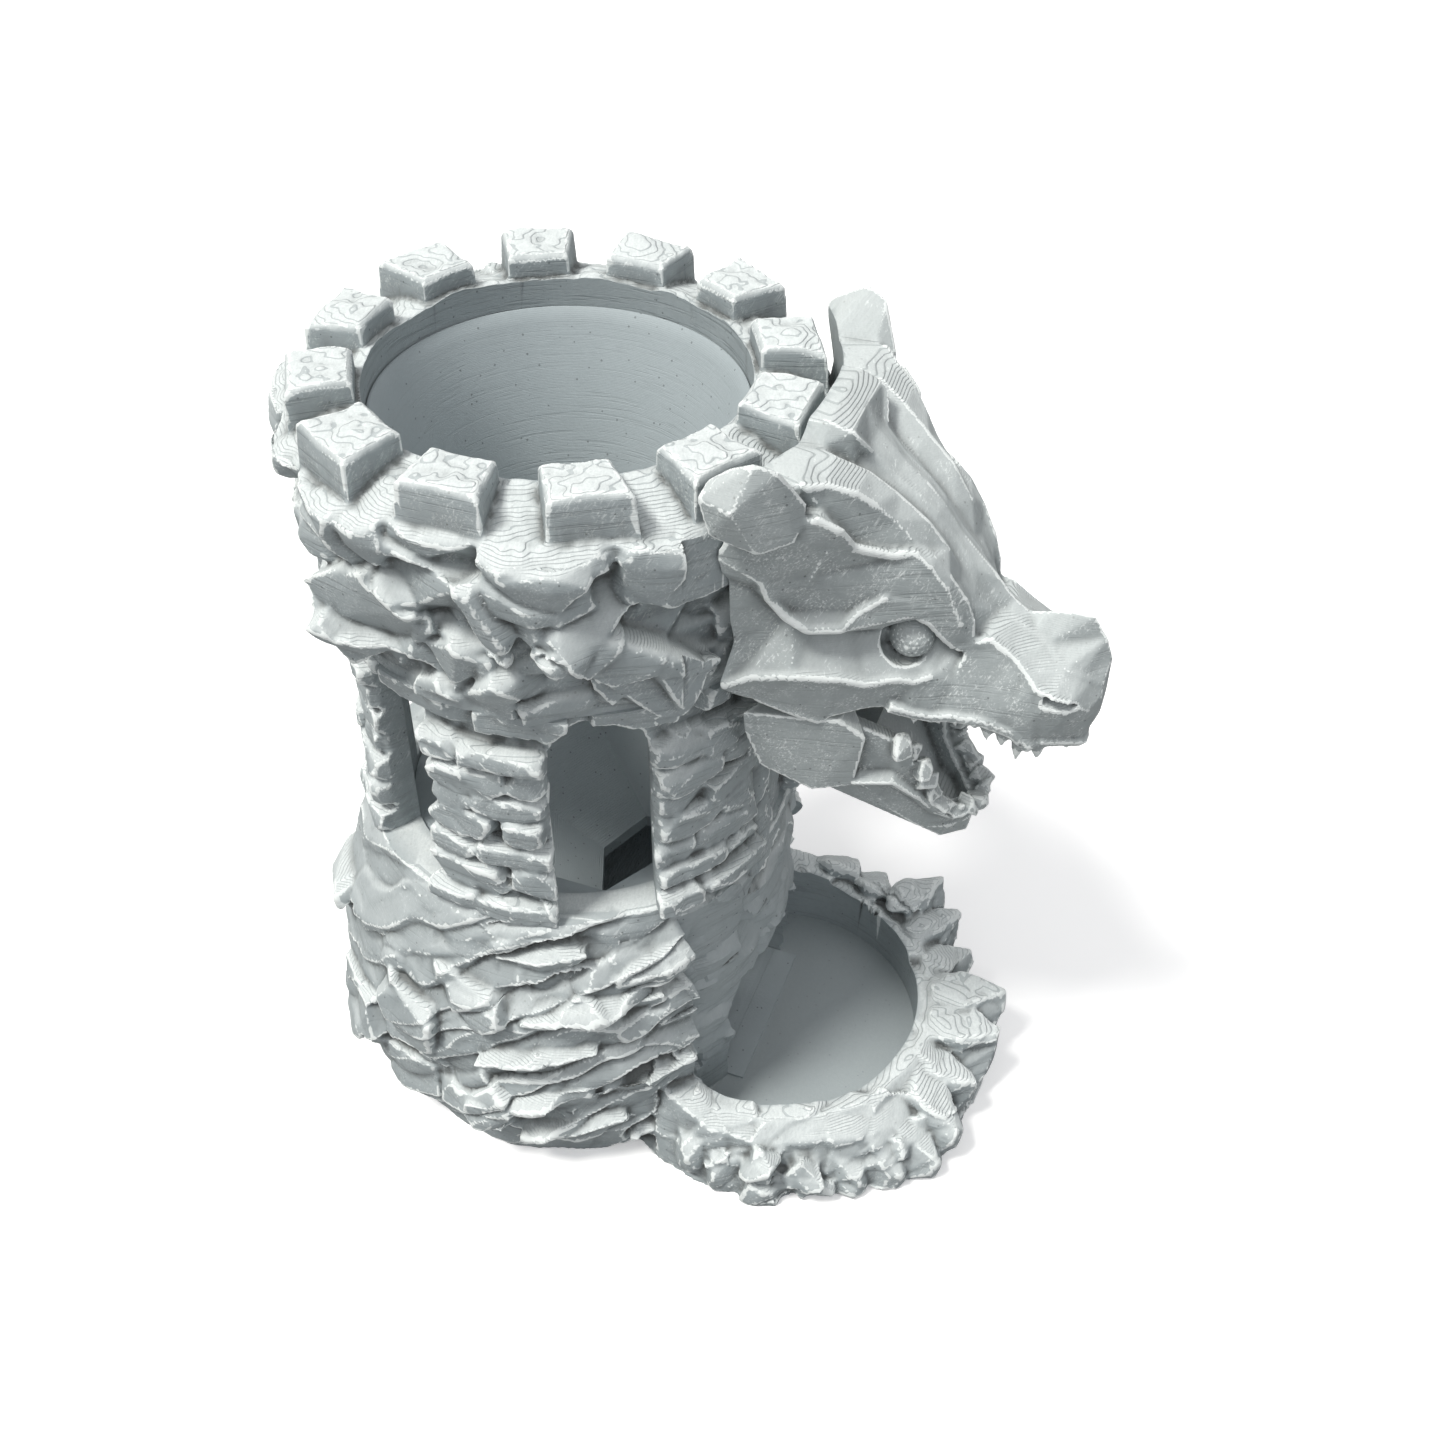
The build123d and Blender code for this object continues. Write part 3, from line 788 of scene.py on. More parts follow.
@dataclass
class BasePrint:
    """Foot, rock skirt, doorway and catch tray, printed as one piece."""

    shaft_radius: float = 36.0
    wall_radius: float = 43.0
    well_radius: float = 31.85
    floor_top: float = 7.5
    rim_top: float = 18.7
    ledge_bottom: float = 43.0
    ledge_top: float = 46.0
    ledge_width: float = 2.0
    door_half: float = 19.0
    door_spring: float = 26.0
    door_rise: float = 14.0
    tray_y: float = -44.5
    grain: float = 0.55
    seed: int = 11

    def __post_init__(self) -> None:
        """Takes the outer sizes from the frame."""
        low, high = node_span("tray_base")
        self.sill = high.z
        self.low_corner, self.high_corner = low, high

    def skirt_radius(self, angle: float, height: float) -> float:
        """Outside of the skirt.

        Args:
            angle: Degrees from the front.
            height: Millimetres above the ground.

        Returns:
            The radius there.
        """
        behind = 0.5 - 0.5 * math.cos(math.radians(angle))
        swell = math.sin(math.pi * min(max((height + 14) / (self.sill + 15), 0), 1)) ** 1.1
        return self.wall_radius + 0.6 + swell * (3.4 + 8.4 * behind) + 1.2 * behind

    def _skirt_core(self, clay: Clay) -> None:
        """Adds the body under the rock.

        Args:
            clay: The lump that they are added to.
        """
        sectors, heights = 30, (0, 8, 18, 28, 38, 48, 57, 65, self.sill)
        for low, high in zip(heights, heights[1:]):
            for i in range(sectors):
                a, b = 360 / sectors * i, 360 / sectors * (i + 1)
                corners = [Vector((0, 0, low)), Vector((0, 0, high))]
                for angle in (a, b):
                    for height in (low, high):
                        corners.append(polar(angle, self.skirt_radius(angle, height) - 0.7, height))
                clay.hull(corners)

    def _ledges(self, clay: Clay) -> None:
        """Adds long slate ledges that climb towards the front, and boulders behind them.

        Args:
            clay: The lump that they are added to.
        """
        dice = clay.dice
        for side in (-1, 1):
            for level, start, length, jut in (
                (66.5, 62, 24, 2.2), (61.5, 38, 24, 2.8), (53.0, 50, 34, 3.2), (46.0, 34, 18, 2.4),
                (40.5, 62, 28, 3.0), (31.0, 44, 24, 2.6), (26.5, 70, 30, 3.2), (17.0, 56, 26, 2.4),
                (11.0, 42, 20, 1.6),
            ):
                first = side * (start + dice.uniform(-4, 4))
                last = first + side * length
                slope = dice.uniform(0.16, 0.30)
                drop = slope * math.radians(length) * 46
                middle, thick = (first + last) / 2, dice.uniform(3.4, 5.6)
                ends = (first, middle, last)
                reach = [self.skirt_radius(a, level) + jut * dice.uniform(0.5, 1.0) for a in ends]
                clay.hull([
                    polar(first, reach[0], level), polar(middle, reach[1] + 0.8, level - drop / 2),
                    polar(last, reach[2], level - drop),
                    polar(first, 40, level + 1.6), polar(last, 40, level - drop + 1.6),
                    polar(middle, 41, level + thick + 1.0), polar(first, reach[0] - 3.5, level - thick),
                    polar(middle, reach[1] - 2.6, level - drop / 2 - thick),
                    polar(last, reach[2] - 4, level - drop - thick),
                ])
        for angle, height, wide, tall in (
            (-96, 20, 9, 9), (-112, 38, 10, 8), (-118, 14, 10, 10), (-134, 27, 11, 10), (-150, 46, 10, 8),
            (-152, 15, 11, 10), (-172, 30, 12, 11), (170, 52, 10, 7), (166, 14, 11, 10), (148, 36, 11, 9),
            (140, 12, 10, 9), (124, 52, 9, 7), (118, 24, 10, 10), (100, 42, 9, 8), (96, 12, 9, 8),
            (-96, 50, 8, 7),
        ):
            reach = self.skirt_radius(angle, height)
            clay.block(
                polar(angle, reach - 3.4, max(height, tall - 1)), (wide, 5.2, tall),
                facing(angle + dice.uniform(-6, 6), dice.uniform(-10, 14), dice.uniform(-18, 18)),
                cuts=20, keep=(0.60, 0.82),
            )

    def _door_jambs(self, clay: Clay) -> None:
        """Adds the rough edge of the wall beside the doorway.

        Args:
            clay: The lump that they are added to.
        """
        dice = clay.dice
        for side in (-1, 1):
            for height, tall in (
                (12.0, 6.5), (23.0, 6.0), (34.0, 7.0), (46.0, 6.0), (56.0, 6.0), (66.0, 5.0),
            ):
                clay.block(
                    polar(side * dice.uniform(27.5, 29.5), 41.8 + dice.uniform(-0.3, 0.8), height),
                    (3.8, 3.0, tall), facing(side * 30, dice.uniform(-6, 6), dice.uniform(-8, 8)),
                    cuts=10, keep=(0.66, 0.93),
                )

    def _tray(self, clay: Clay) -> None:
        """Adds the tray's wall and the rocky collar round it.

        Args:
            clay: The lump that they are added to.
        """
        rim, dice = self.rim_top, clay.dice
        at = partial(polar, centre_y=self.tray_y)
        # Angle from the front, ground reach and shoulder height of the collar.
        collar = (
            (-124, 42, 24), (-108, 42.6, 21), (-92, 43.0, 16.5), (-76, 43.0, 14.5), (-60, 42.8, 15),
            (-46, 44.4, 14.5), (-33, 47.4, 13), (-20, 48.6, 12.5), (-7, 47.2, 14.0), (6, 48.6, 15.5),
            (20, 48.8, 16), (34, 46.2, 16), (47, 46.4, 16.5), (60, 46.6, 18), (76, 43.0, 19),
            (92, 42.0, 22), (108, 42, 25), (124, 42, 27),
        )
        for (a, reach_a, top_a), (b, reach_b, top_b) in zip(collar, collar[1:]):
            corners = []
            for angle, reach, top in ((a, reach_a, top_a), (b, reach_b, top_b)):
                inner_top = rim + max(0.0, (top - rim) * 0.9) * (1.0 if abs(angle) > 70 else 0.0)
                corners += [
                    at(angle, 30, 0), at(angle, reach, 0), at(angle, reach - 0.6, 5.0),
                    at(angle, min(reach - 3.4, 41.5), top), at(angle, 35.6, max(inner_top, rim)),
                    at(angle, 30, inner_top),
                ]
            clay.hull(corners)
        # Angle, reach, half width, top of the tip and height of the root of each claw of rock.
        claws = (
            (58, 50.6, 3.4, 21.5, 24.0), (48, 49.6, 3.6, 17.5, 20.5), (34.5, 48.4, 4.0, 14.5, 19.5),
            (19, 52.0, 5.0, 18.6, 20.2), (7, 51.8, 5.0, 17.2, 20.0), (-8, 49.0, 3.6, 13.0, 18.6),
            (-18.5, 51.2, 3.8, 11.4, 17.8), (-28, 51.0, 3.6, 6.2, 17.0), (-38, 48.6, 3.4, 4.2, 18.8),
            (-50, 46.2, 3.8, 5.0, 17.2), (-61, 44.8, 3.4, 6.5, 18.6), (-73, 44.6, 3.6, 4.4, 17.4),
            (-86, 44.8, 3.8, 6.0, 19.0), (-99, 44.2, 4.2, 9.0, 20.0), (72, 45.4, 4.2, 17.5, 23.0),
            (86, 44.4, 4.6, 19.0, 25.0),
        )
        for angle, reach, half, tip, root in claws:
            lean = dice.uniform(-3.5, 3.5)
            spread = math.degrees(half / 40)
            mid = (reach + 34) / 2
            clay.hull([
                at(angle + lean, reach, tip), at(angle + lean - 2.0, reach - 0.4, tip - 3.2),
                at(angle + lean + 2.2, reach - 0.5, tip - 2.4),
                at(angle + lean, reach - 0.3, max(tip - 6.0, 0)),
                at(angle - spread, mid, (tip + root) / 2 + 0.6),
                at(angle + spread, mid, (tip + root) / 2 + 0.2),
                at(angle - lean * 0.5, 34.6, root), at(angle - spread * 1.3, 36.4, root - 2.0),
                at(angle + spread * 1.3, 36.4, root - 2.4), at(angle - spread * 1.6, reach - 5.0, 1.0),
                at(angle + spread * 1.6, reach - 5.0, 1.0), at(angle, 34, 4),
            ])
        for _ in range(26):
            angle = dice.uniform(-100, 70)
            clay.block(
                at(angle, dice.uniform(39.5, 43.5), dice.uniform(2.0, 11.5)),
                (dice.uniform(2.2, 4.2), dice.uniform(2, 3.4), dice.uniform(1.8, 4.2)),
                facing(angle + dice.uniform(-25, 25), dice.uniform(-20, 50), dice.uniform(-40, 40)),
                cuts=12, keep=(0.55, 0.85),
            )

    def _shaft_cutter(self) -> bpy.types.Object:
        """Makes the round shaft with the ledge that carries the chute.

        Returns:
            The cutter.
        """
        shaft = Clay()
        top, inner = self.sill + 20, self.shaft_radius - self.ledge_width
        shaft.turned([
            (0, self.floor_top), (self.shaft_radius, self.floor_top),
            (self.shaft_radius, self.ledge_bottom), (inner, self.ledge_bottom), (inner, self.ledge_top),
            (self.shaft_radius, self.ledge_top), (self.shaft_radius, top), (0, top),
        ])
        return shaft.to_object("shaft_cutter")

    def _door_cutter(self) -> bpy.types.Object:
        """Makes the arch-topped prism of the doorway.

        Returns:
            The cutter.
        """
        door = Clay()
        arch = [(-self.door_half, self.floor_top), (self.door_half, self.floor_top)]
        for i in range(13):
            turn = math.pi * i / 12
            arch.append((self.door_half * math.cos(turn), self.door_spring + self.door_rise * math.sin(turn)))
        door.hull([(x, y, z) for x, z in arch for y in (-10.0, -60.0)])
        return door.to_object("door_cutter")

    def _well_cutter(self) -> bpy.types.Object:
        """Makes the tray's well, which stops at the tower's rough front.

        Returns:
            The cutter.
        """
        well = Clay()
        top = self.sill + 20
        well.turned(
            [(0, self.floor_top), (self.well_radius, self.floor_top), (self.well_radius, top), (0, top)],
            self.tray_y,
        )
        cutter = well.to_object("well_cutter")
        wall, wall_top = Clay(), self.sill + 30
        wall.turned([
            (0, 0), (self.wall_radius + 0.4, 0), (self.wall_radius + 0.9, wall_top), (0, wall_top),
        ])
        rough = wall.to_object("wall_cutter")
        fuse(rough, 0.8)
        chisel(rough, (9.0, 9.0, 6.0), 2.2, 7.0, tilt=1.2, steep=2.4)
        carve(cutter, rough)
        return cutter

    def _chip_rock(self, piece: bpy.types.Object) -> None:
        """Splits the tower's rock into slate that climbs to the front, and chips the collar of the tray.

        Args:
            piece: The fused base, in millimetres.
        """
        points = points_of(piece.data)
        radius = np.hypot(points[:, 0], points[:, 1])
        tower = np.clip((radius - 41.5) / 2.0, 0, 1) * np.clip((radius - 36) / 4, 0, 1)
        reach = np.hypot(points[:, 0], points[:, 1] - self.tray_y)
        low_down = np.clip((40 - points[:, 2]) / 14, 0, 1)
        tray = np.clip((reach - 33.5) / 3.0, 0, 1) * low_down * (points[:, 1] < -30)
        slate = tower * (1 - tray * 0.8) * np.clip((self.sill + 2 - points[:, 2]) / 4, 0.3, 1)
        around = np.degrees(np.abs(np.arctan2(points[:, 0], -points[:, 1])))
        slate *= np.clip((128 - around) / 45, 0.4, 1)
        chisel(piece, (32.0, 32.0, 8.0), 2.2, 4.0, slate, tilt=1.5, shelf=0.6, climb=0.5, steep=4.2)
        chisel(piece, (10.0, 10.0, 6.0), 0.5, 12.0, slate, tilt=1.9, shelf=0.3, climb=0.4, steep=3.4)
        chisel(piece, (9.0, 9.0, 8.0), 0.8, 9.0, tray, tilt=2.0, shelf=0.2, climb=0.2, steep=3.0)
        points = points_of(piece.data)
        points[:, 0] = np.clip(points[:, 0], self.low_corner.x + 0.05, self.high_corner.x - 0.05)
        points[:, 1] = np.clip(points[:, 1], self.low_corner.y + 0.05, self.high_corner.y - 0.05)
        set_points(piece.data, points)

    def build(self, finish: bpy.types.Material) -> None:
        """Makes the base print.

        Args:
            finish: Its material.
        """
        clay = Clay(self.seed)
        self._skirt_core(clay)
        rim = self.rim_top
        clay.turned(
            [(0, -2), (40.5, -2), (40.5, 4), (36.5, rim - 1.2), (33, rim), (0, rim)], self.tray_y, steps=96
        )
        self._tray(clay)
        self._ledges(clay)
        self._door_jambs(clay)
        piece = clay.to_object("tray_base_rock")
        fuse(piece, self.grain)
        self._chip_rock(piece)
        fields = read_relief(piece, self.grain)
        carve(piece, self._shaft_cutter())
        carve(piece, self._door_cutter())
        carve(piece, self._well_cutter())
        carve(piece, half_space(-30, 0))
        carve(piece, half_space(self.sill, self.sill + 30))
        crisp_fields(piece, *fields)
        hand_over(piece, Body.TOWER, finish, ("tray_base",), crease=32.0)


@dataclass
class ArcadePrint:
    """Ring of six brick piers with five open arches and a walled front bay."""

    shaft_radius: float = 36.0
    core_radius: float = 40.3
    pier_angles: tuple = (-150, -90, -30, 30, 90, 150)
    arch_angles: tuple = (-120, -60, 60, 120, 180)
    arch_half: float = 9.4
    arch_spring: float = 111.5
    arch_rise: float = 10.9
    courses: int = 7
    grain: float = 0.52
    seed: int = 23

    def __post_init__(self) -> None:
        """Takes the heights from the frame."""
        low, high = node_span("arcade")
        self.low, self.high = low.z, high.z

    def _piers(self, clay: Clay) -> None:
        """Lays the courses of brick on each pier.

        Args:
            clay: The lump that they are added to.
        """
        dice = clay.dice
        for pier in self.pier_angles:
            level = self.low - 1.0
            pitches = [dice.uniform(0.8, 1.2) for _ in range(self.courses)]
            scale = (self.high - self.low - 8.5) / sum(pitches)
            for course, share in enumerate(pitches):
                pitch = share * scale
                height = level + pitch / 2
                level += pitch
                flare = 2.0 * max(0, 1 - course / 1.5) + 1.0 * max(0, (course - self.courses + 2.4) / 2)
                half = 16.4 + flare * 0.9
                joint = pier + (4.2 if course % 2 else -4.4) + dice.uniform(-2.5, 2.5)
                ends = (pier - half + dice.uniform(-0.8, 0.8), joint, pier + half + dice.uniform(-0.8, 0.8))
                for left, right in zip(ends, ends[1:]):
                    angle = (left + right) / 2
                    half_width = math.radians(right - left) / 2 * 42.5 + 0.1
                    depth = dice.uniform(3.4, 4.0)
                    clay.block(
                        polar(
                            angle, 43.5 + flare - depth + dice.uniform(-0.7, 0.8),
                            height + dice.uniform(-0.3, 0.3),
                        ),
                        (half_width - 0.15, depth, pitch / 2 - dice.uniform(0.05, 0.35)),
                        facing(angle + dice.uniform(-5, 5), dice.uniform(-9, 7), dice.uniform(-5, 5)),
                        cuts=16, keep=(0.70, 0.92),
                    )

    def _lintels(self, clay: Clay) -> None:
        """Adds the stones over the arches and along the top of the ring.

        Args:
            clay: The lump that they are added to.
        """
        dice = clay.dice
        for i in range(14):
            angle = 360 / 14 * i + dice.uniform(-3, 3)
            clay.block(
                polar(angle, 40.4 + dice.uniform(-0.4, 0.7), self.high - 2.4 + dice.uniform(-0.5, 0.5)),
                (dice.uniform(8.0, 11.0), 3.0, 3.4),
                facing(angle + dice.uniform(-5, 5), dice.uniform(-14, 4), dice.uniform(-4, 4)),
                cuts=12, keep=(0.68, 0.93),
            )

    def _front_wall(self, clay: Clay) -> None:
        """Adds the rough slabs of the walled bay.

        Args:
            clay: The lump that they are added to.
        """
        dice = clay.dice
        for _ in range(18):
            angle = dice.uniform(-13, 13)
            clay.block(
                polar(angle, 38.8 + dice.uniform(-0.3, 0.6), dice.uniform(self.low + 3, self.high - 4)),
                (dice.uniform(3, 6), 2.8, dice.uniform(4, 8)),
                facing(angle + dice.uniform(-12, 12), dice.uniform(-12, 12), dice.uniform(-30, 30)),
                cuts=12, keep=(0.55, 0.88),
            )

    def _arch_cutter(self, angle: float, dice: random.Random) -> bpy.types.Object:
        """Makes the prism of one arch.

        Args:
            angle: Where the arch is, in degrees from the front.
            dice: Source of the small differences between arches.

        Returns:
            The cutter.
        """
        gap = Clay()
        half = self.arch_half
        outline = [(-half - 0.2, self.low - 5), (half + 0.2, self.low - 5)]
        for i in range(13):
            turn = math.pi * i / 12
            outline.append((
                half * math.cos(turn),
                self.arch_spring + self.arch_rise * math.sin(turn) ** 0.9 + dice.uniform(-0.25, 0.1)
            ))
        turn = facing(angle)
        gap.hull([turn @ Vector((x, y, z)) for x, z in outline for y in (-30.0, -60.0)])
        return gap.to_object("arch_cutter")

    def build(self, finish: bpy.types.Material) -> None:
        """Makes the arcade print.

        Args:
            finish: Its material.
        """
        clay = Clay(self.seed)
        clay.turned([
            (self.shaft_radius - 1, self.low - 2), (self.core_radius + 1.4, self.low - 2),
            (self.core_radius, self.low + 9), (self.core_radius, self.high - 8),
            (self.core_radius + 0.8, self.high + 2), (self.shaft_radius - 1, self.high + 2),
        ])
        self._piers(clay)
        self._lintels(clay)
        self._front_wall(clay)
        piece = clay.to_object("arcade_brick")
        fuse(piece, self.grain)
        for angle in self.arch_angles:
            carve(piece, self._arch_cutter(angle, clay.dice))
        fuse(piece, self.grain)
        points = points_of(piece.data)
        radius = np.hypot(points[:, 0], points[:, 1])
        chisel(piece, (7.5, 7.5, 6.5), 0.45, 5.0, np.clip((radius - 37.5) / 2.5, 0, 1), tilt=1.6, steep=2.8)
        fields = read_relief(piece, self.grain)
        bore = Clay()
        bore.turned([
            (0, self.low - 9), (self.shaft_radius, self.low - 9), (self.shaft_radius, self.high + 9),
            (0, self.high + 9),
        ])
        carve(piece, bore.to_object("bore_cutter"))
        carve(piece, half_space(self.low - 30, self.low))
        carve(piece, half_space(self.high, self.high + 30))
        crisp_fields(piece, *fields)
        hand_over(piece, Body.TOWER, finish, ("arcade",), crease=32.0)


@dataclass
class CrownPrint:
    """Ring of chiselled rock with a sloping walkway and twelve merlons."""

    mouth_radius: float = 34.0
    merlon_height: float = 4.7
    merlon_count: int = 12
    merlon_inner: float = 35.3
    merlon_outer: float = 47.2
    merlon_half: float = 6.5
    head_clearance: float = 48.8
    head_half_angle: float = 43.0
    seat_radius: float = 33.0
    seat_bottom: float = 156.5
    seat_top: float = 160.2
    grain: float = 0.47
    seed: int = 37
    merlon_seed: int = 38

    def __post_init__(self) -> None:
        """Takes the heights from the frame."""
        low, high = node_span("crown")
        self.low = low.z
        self.rim = high.z - self.merlon_height

    def _walkway(self, clay: Clay) -> None:
        """Adds the big blocks whose tops make the sloping walkway.

        Args:
            clay: The lump that they are added to.
        """
        dice = clay.dice
        # Middle angle, half width in degrees, reach and lowest height of each block.
        blocks = (
            (-44, 16, 49.6, 148), (-69, 13, 52.4, 150), (-93, 14, 49.4, 157), (-115, 14, 51.4, 152),
            (-140, 15, 50.4, 156), (-166, 15, 51.6, 150), (166, 14, 50.6, 155), (140, 14, 51.8, 150),
            (112, 15, 50.2, 156), (86, 14, 51.6, 151), (62, 13, 50.2, 155), (40, 14, 50.2, 149),
            (13, 15, 47.4, 150), (-13, 15, 47.4, 150),
        )
        for angle, half, reach, bottom in blocks:
            lip = self.rim - (reach - 37) * math.tan(math.radians(dice.uniform(16, 22)))
            left, right = angle - half, angle + half
            nose = angle + dice.uniform(-5, 5)
            clay.hull([
                polar(left, 35, self.rim), polar(angle, 34.6, self.rim), polar(right, 35, self.rim),
                polar(left, 41, self.rim - 0.8), polar(right, 41, self.rim - 0.8),
                polar(left + 1, reach - dice.uniform(2.4, 4.4), lip + dice.uniform(0.2, 1.4)),
                polar(nose - 5, reach - dice.uniform(0.0, 0.9), lip),
                polar(nose + 5, reach - dice.uniform(0.0, 0.9), lip - 0.6),
                polar(right - 1, reach - dice.uniform(2.4, 4.4), lip + dice.uniform(0.2, 1.4)),
                polar(left + 3, reach - 3.4, bottom + dice.uniform(3, 6)),
                polar(nose, reach - 1.2, bottom + dice.uniform(2, 5)),
                polar(right - 3, reach - 3.0, bottom + dice.uniform(2, 5)),
                polar(nose, reach - 5.5, bottom), polar(left, 38, bottom), polar(right, 38, bottom),
            ])

    def _slabs(self, clay: Clay) -> None:
        """Adds big chiselled slabs in two uneven tiers and the points that hang from them.

        Args:
            clay: The lump that they are added to.
        """
        dice = clay.dice
        for tier, (level, radius, count, tall) in enumerate(((150.0, 47.6, 11, 9.0), (139.5, 46.8, 12, 8.5))):
            for i in range(count):
                angle = 360 / count * (i + 0.5 * tier) + dice.uniform(-8, 8)
                depth = dice.uniform(4.4, 6.0)
                clay.block(
                    polar(angle, radius - depth + dice.uniform(-0.8, 2.4), level + dice.uniform(-3.5, 3.5)),
                    (dice.uniform(8.5, 13.5), depth, tall * dice.uniform(0.7, 1.1)),
                    facing(angle + dice.uniform(-14, 14), dice.uniform(-22, 14), dice.uniform(-35, 35)),
                    cuts=dice.randint(6, 9), keep=(0.52, 0.86),
                )
        for i in range(12):
            angle = 30 * i + dice.uniform(-9, 9)
            half = dice.uniform(9, 14)
            reach = dice.uniform(44.8, 47.4)
            top = dice.uniform(136, 142)
            clay.hull([
                polar(angle - half, reach - 1.6, top + dice.uniform(-3, 3)),
                polar(angle + half, reach - 1.6, top + dice.uniform(-3, 3)),
                polar(angle, reach + 0.6, top + 1), polar(angle - half, 40, top),
                polar(angle + half, 40, top),
                polar(angle + dice.uniform(-7, 7), reach - 0.6, dice.uniform(127.2, 131.5)),
                polar(angle + dice.uniform(-5, 5), 41, dice.uniform(128, 131)),
            ])

    def _seam_stones(self, clay: Clay) -> None:
        """Adds the low course that meets the arcade at the level split.

        Args:
            clay: The lump that they are added to.
        """
        dice = clay.dice
        for i in range(12):
            angle = 30 * i + dice.uniform(-4, 4)
            clay.block(
                polar(angle, 39.4 + dice.uniform(0, 1.0), self.low + 2.0),
                (dice.uniform(9.0, 12.5), 3.6, 4.0),
                facing(angle + dice.uniform(-5, 5), dice.uniform(-16, 2), dice.uniform(-4, 4)),
                cuts=12, keep=(0.68, 0.93),
            )

    def _merlons(self) -> bpy.types.Object:
        """Makes the blunt blocks of the battlement.

        Returns:
            The blocks as one object.
        """
        clay = Clay(self.merlon_seed)
        dice = clay.dice
        for i in range(self.merlon_count):
            angle = 360 / self.merlon_count * i
            front = i == 0
            inner = self.merlon_inner + dice.uniform(-0.2, 0.3)
            outer = self.merlon_outer + (-0.3 if front else dice.uniform(-1.0, 0.7))
            half = math.degrees((self.merlon_half + dice.uniform(-0.5, 0.5)) / 41.5)
            skew = 0 if front else dice.uniform(-1.2, 1.2)
            top = self.rim + self.merlon_height
            drop = dice.uniform(0.1, 0.9)
            corners = []
            for turn, side in ((-half, -1), (half, 1)):
                for reach in (inner, outer):
                    grow = 0.12 * (reach - 41)
                    edge = angle + turn + skew * (reach - 41) * 0.2 - side * grow * 0.4
                    level = top - (drop if reach == outer else 0) * dice.uniform(0.3, 1.0)
                    corners += [
                        polar(edge - side * 1.0, reach - math.copysign(0.8, reach - 41), level),
                        polar(edge, reach, level - 1.0),
                        polar(edge + side * 0.5, reach + (0.6 if reach > 41 else 0), self.rim - 4.5),
                    ]
            clay.hull(corners)
        return clay.to_object("merlons")

    def _shape_by_hand(self, piece: bpy.types.Object) -> None:
        """Ripples the walkway and merlon tops, and clears the back of the head.

        Args:
            piece: The crown, in millimetres.
        """
        points = points_of(piece.data)
        for i in np.flatnonzero(points[:, 2] > self.rim - 5):
            x, y, z = points[i]
            wave = noise.noise(Vector((x, y, 0.2 * z)) / 6.2)
            finer = noise.noise(Vector((y, x, 3.0)) / 1.9)
            points[i, 2] = min(z + 0.85 * wave + 0.25 * finer - 0.35, self.rim + self.merlon_height - 0.02)
        angle = np.degrees(np.arctan2(points[:, 0], -points[:, 1]))
        radius = np.hypot(points[:, 0], points[:, 1])
        over = (np.abs(angle) < self.head_half_angle) & (radius > self.head_clearance)
        points[over, :2] *= (self.head_clearance / radius[over])[:, None]
        set_points(piece.data, points)

    def build(self, finish: bpy.types.Material) -> None:
        """Makes the crown print.

        Args:
            finish: Its material.
        """
        clay = Clay(self.seed)
        clay.turned([
            (32.0, self.low - 2), (42.0, self.low - 2), (44.0, self.low + 9), (44.6, self.rim - 5),
            (36, self.rim), (32.0, self.rim),
        ])
        self._walkway(clay)
        self._slabs(clay)
        self._seam_stones(clay)
        piece = clay.to_object("crown_rock")
        fuse(piece, self.grain)
        points = points_of(piece.data)
        radius = np.hypot(points[:, 0], points[:, 1])
        side = np.clip((radius - 38) / 4, 0, 1)
        top = np.clip((self.rim - 3.0 - points[:, 2]) / 5, 0.0, 1)
        seam = np.clip((points[:, 2] - self.low) / 6, 0.25, 1)
        chisel(piece, (12.0, 12.0, 10.0), 2.2, 3.0, side * top * seam, tilt=2.1, steep=4.5)
        join(piece, self._merlons())
        fuse(piece, self.grain)
        self._shape_by_hand(piece)
        fields = read_relief(piece, self.grain)
        bore = Clay()
        mouth = self.mouth_radius
        bore.turned([
            (0, self.low - 9), (mouth, self.low - 9), (mouth, self.seat_bottom),
            (self.seat_radius, self.seat_bottom), (self.seat_radius, self.seat_top), (mouth, self.seat_top),
            (mouth, self.rim + 20), (0, self.rim + 20),
        ])
        carve(piece, bore.to_object("bore_cutter"))
        carve(piece, half_space(self.low - 30, self.low))
        crisp_fields(piece, *fields)
        hand_over(piece, Body.CROWN, finish, ("crown",), crease=30.0)


@dataclass
class HopperPrint:
    """Smooth funnel that drops into the crown."""

    lip_radius: float = 33.0
    waist_radius: float = 31.6
    outlet_radius: float = 22.5
    wall: float = 1.2
    flange_depth: float = 2.3
    steps: int = 256

    def build(self, finish: bpy.types.Material) -> None:
        """Makes the hopper.

        Args:
            finish: Its material.
        """
        low, high = node_span("hopper")
        flange = high.x
        seat = high.z - self.flange_depth
        clay = Clay()
        clay.turned([
            (self.lip_radius, high.z - 0.25), (self.lip_radius + 0.25, high.z), (flange - 0.2, high.z),
            (flange, high.z - 0.2), (flange, seat), (self.waist_radius + self.wall, seat),
            (self.outlet_radius + self.wall, low.z), (self.outlet_radius, low.z), (self.waist_radius, seat),
        ], steps=self.steps)
        piece = clay.to_object("hopper_funnel")
        hand_over(piece, Body.HOPPER, finish, ("hopper",), crease=25.0)


# ---- dragon's head --------------------------------------------------------------------------


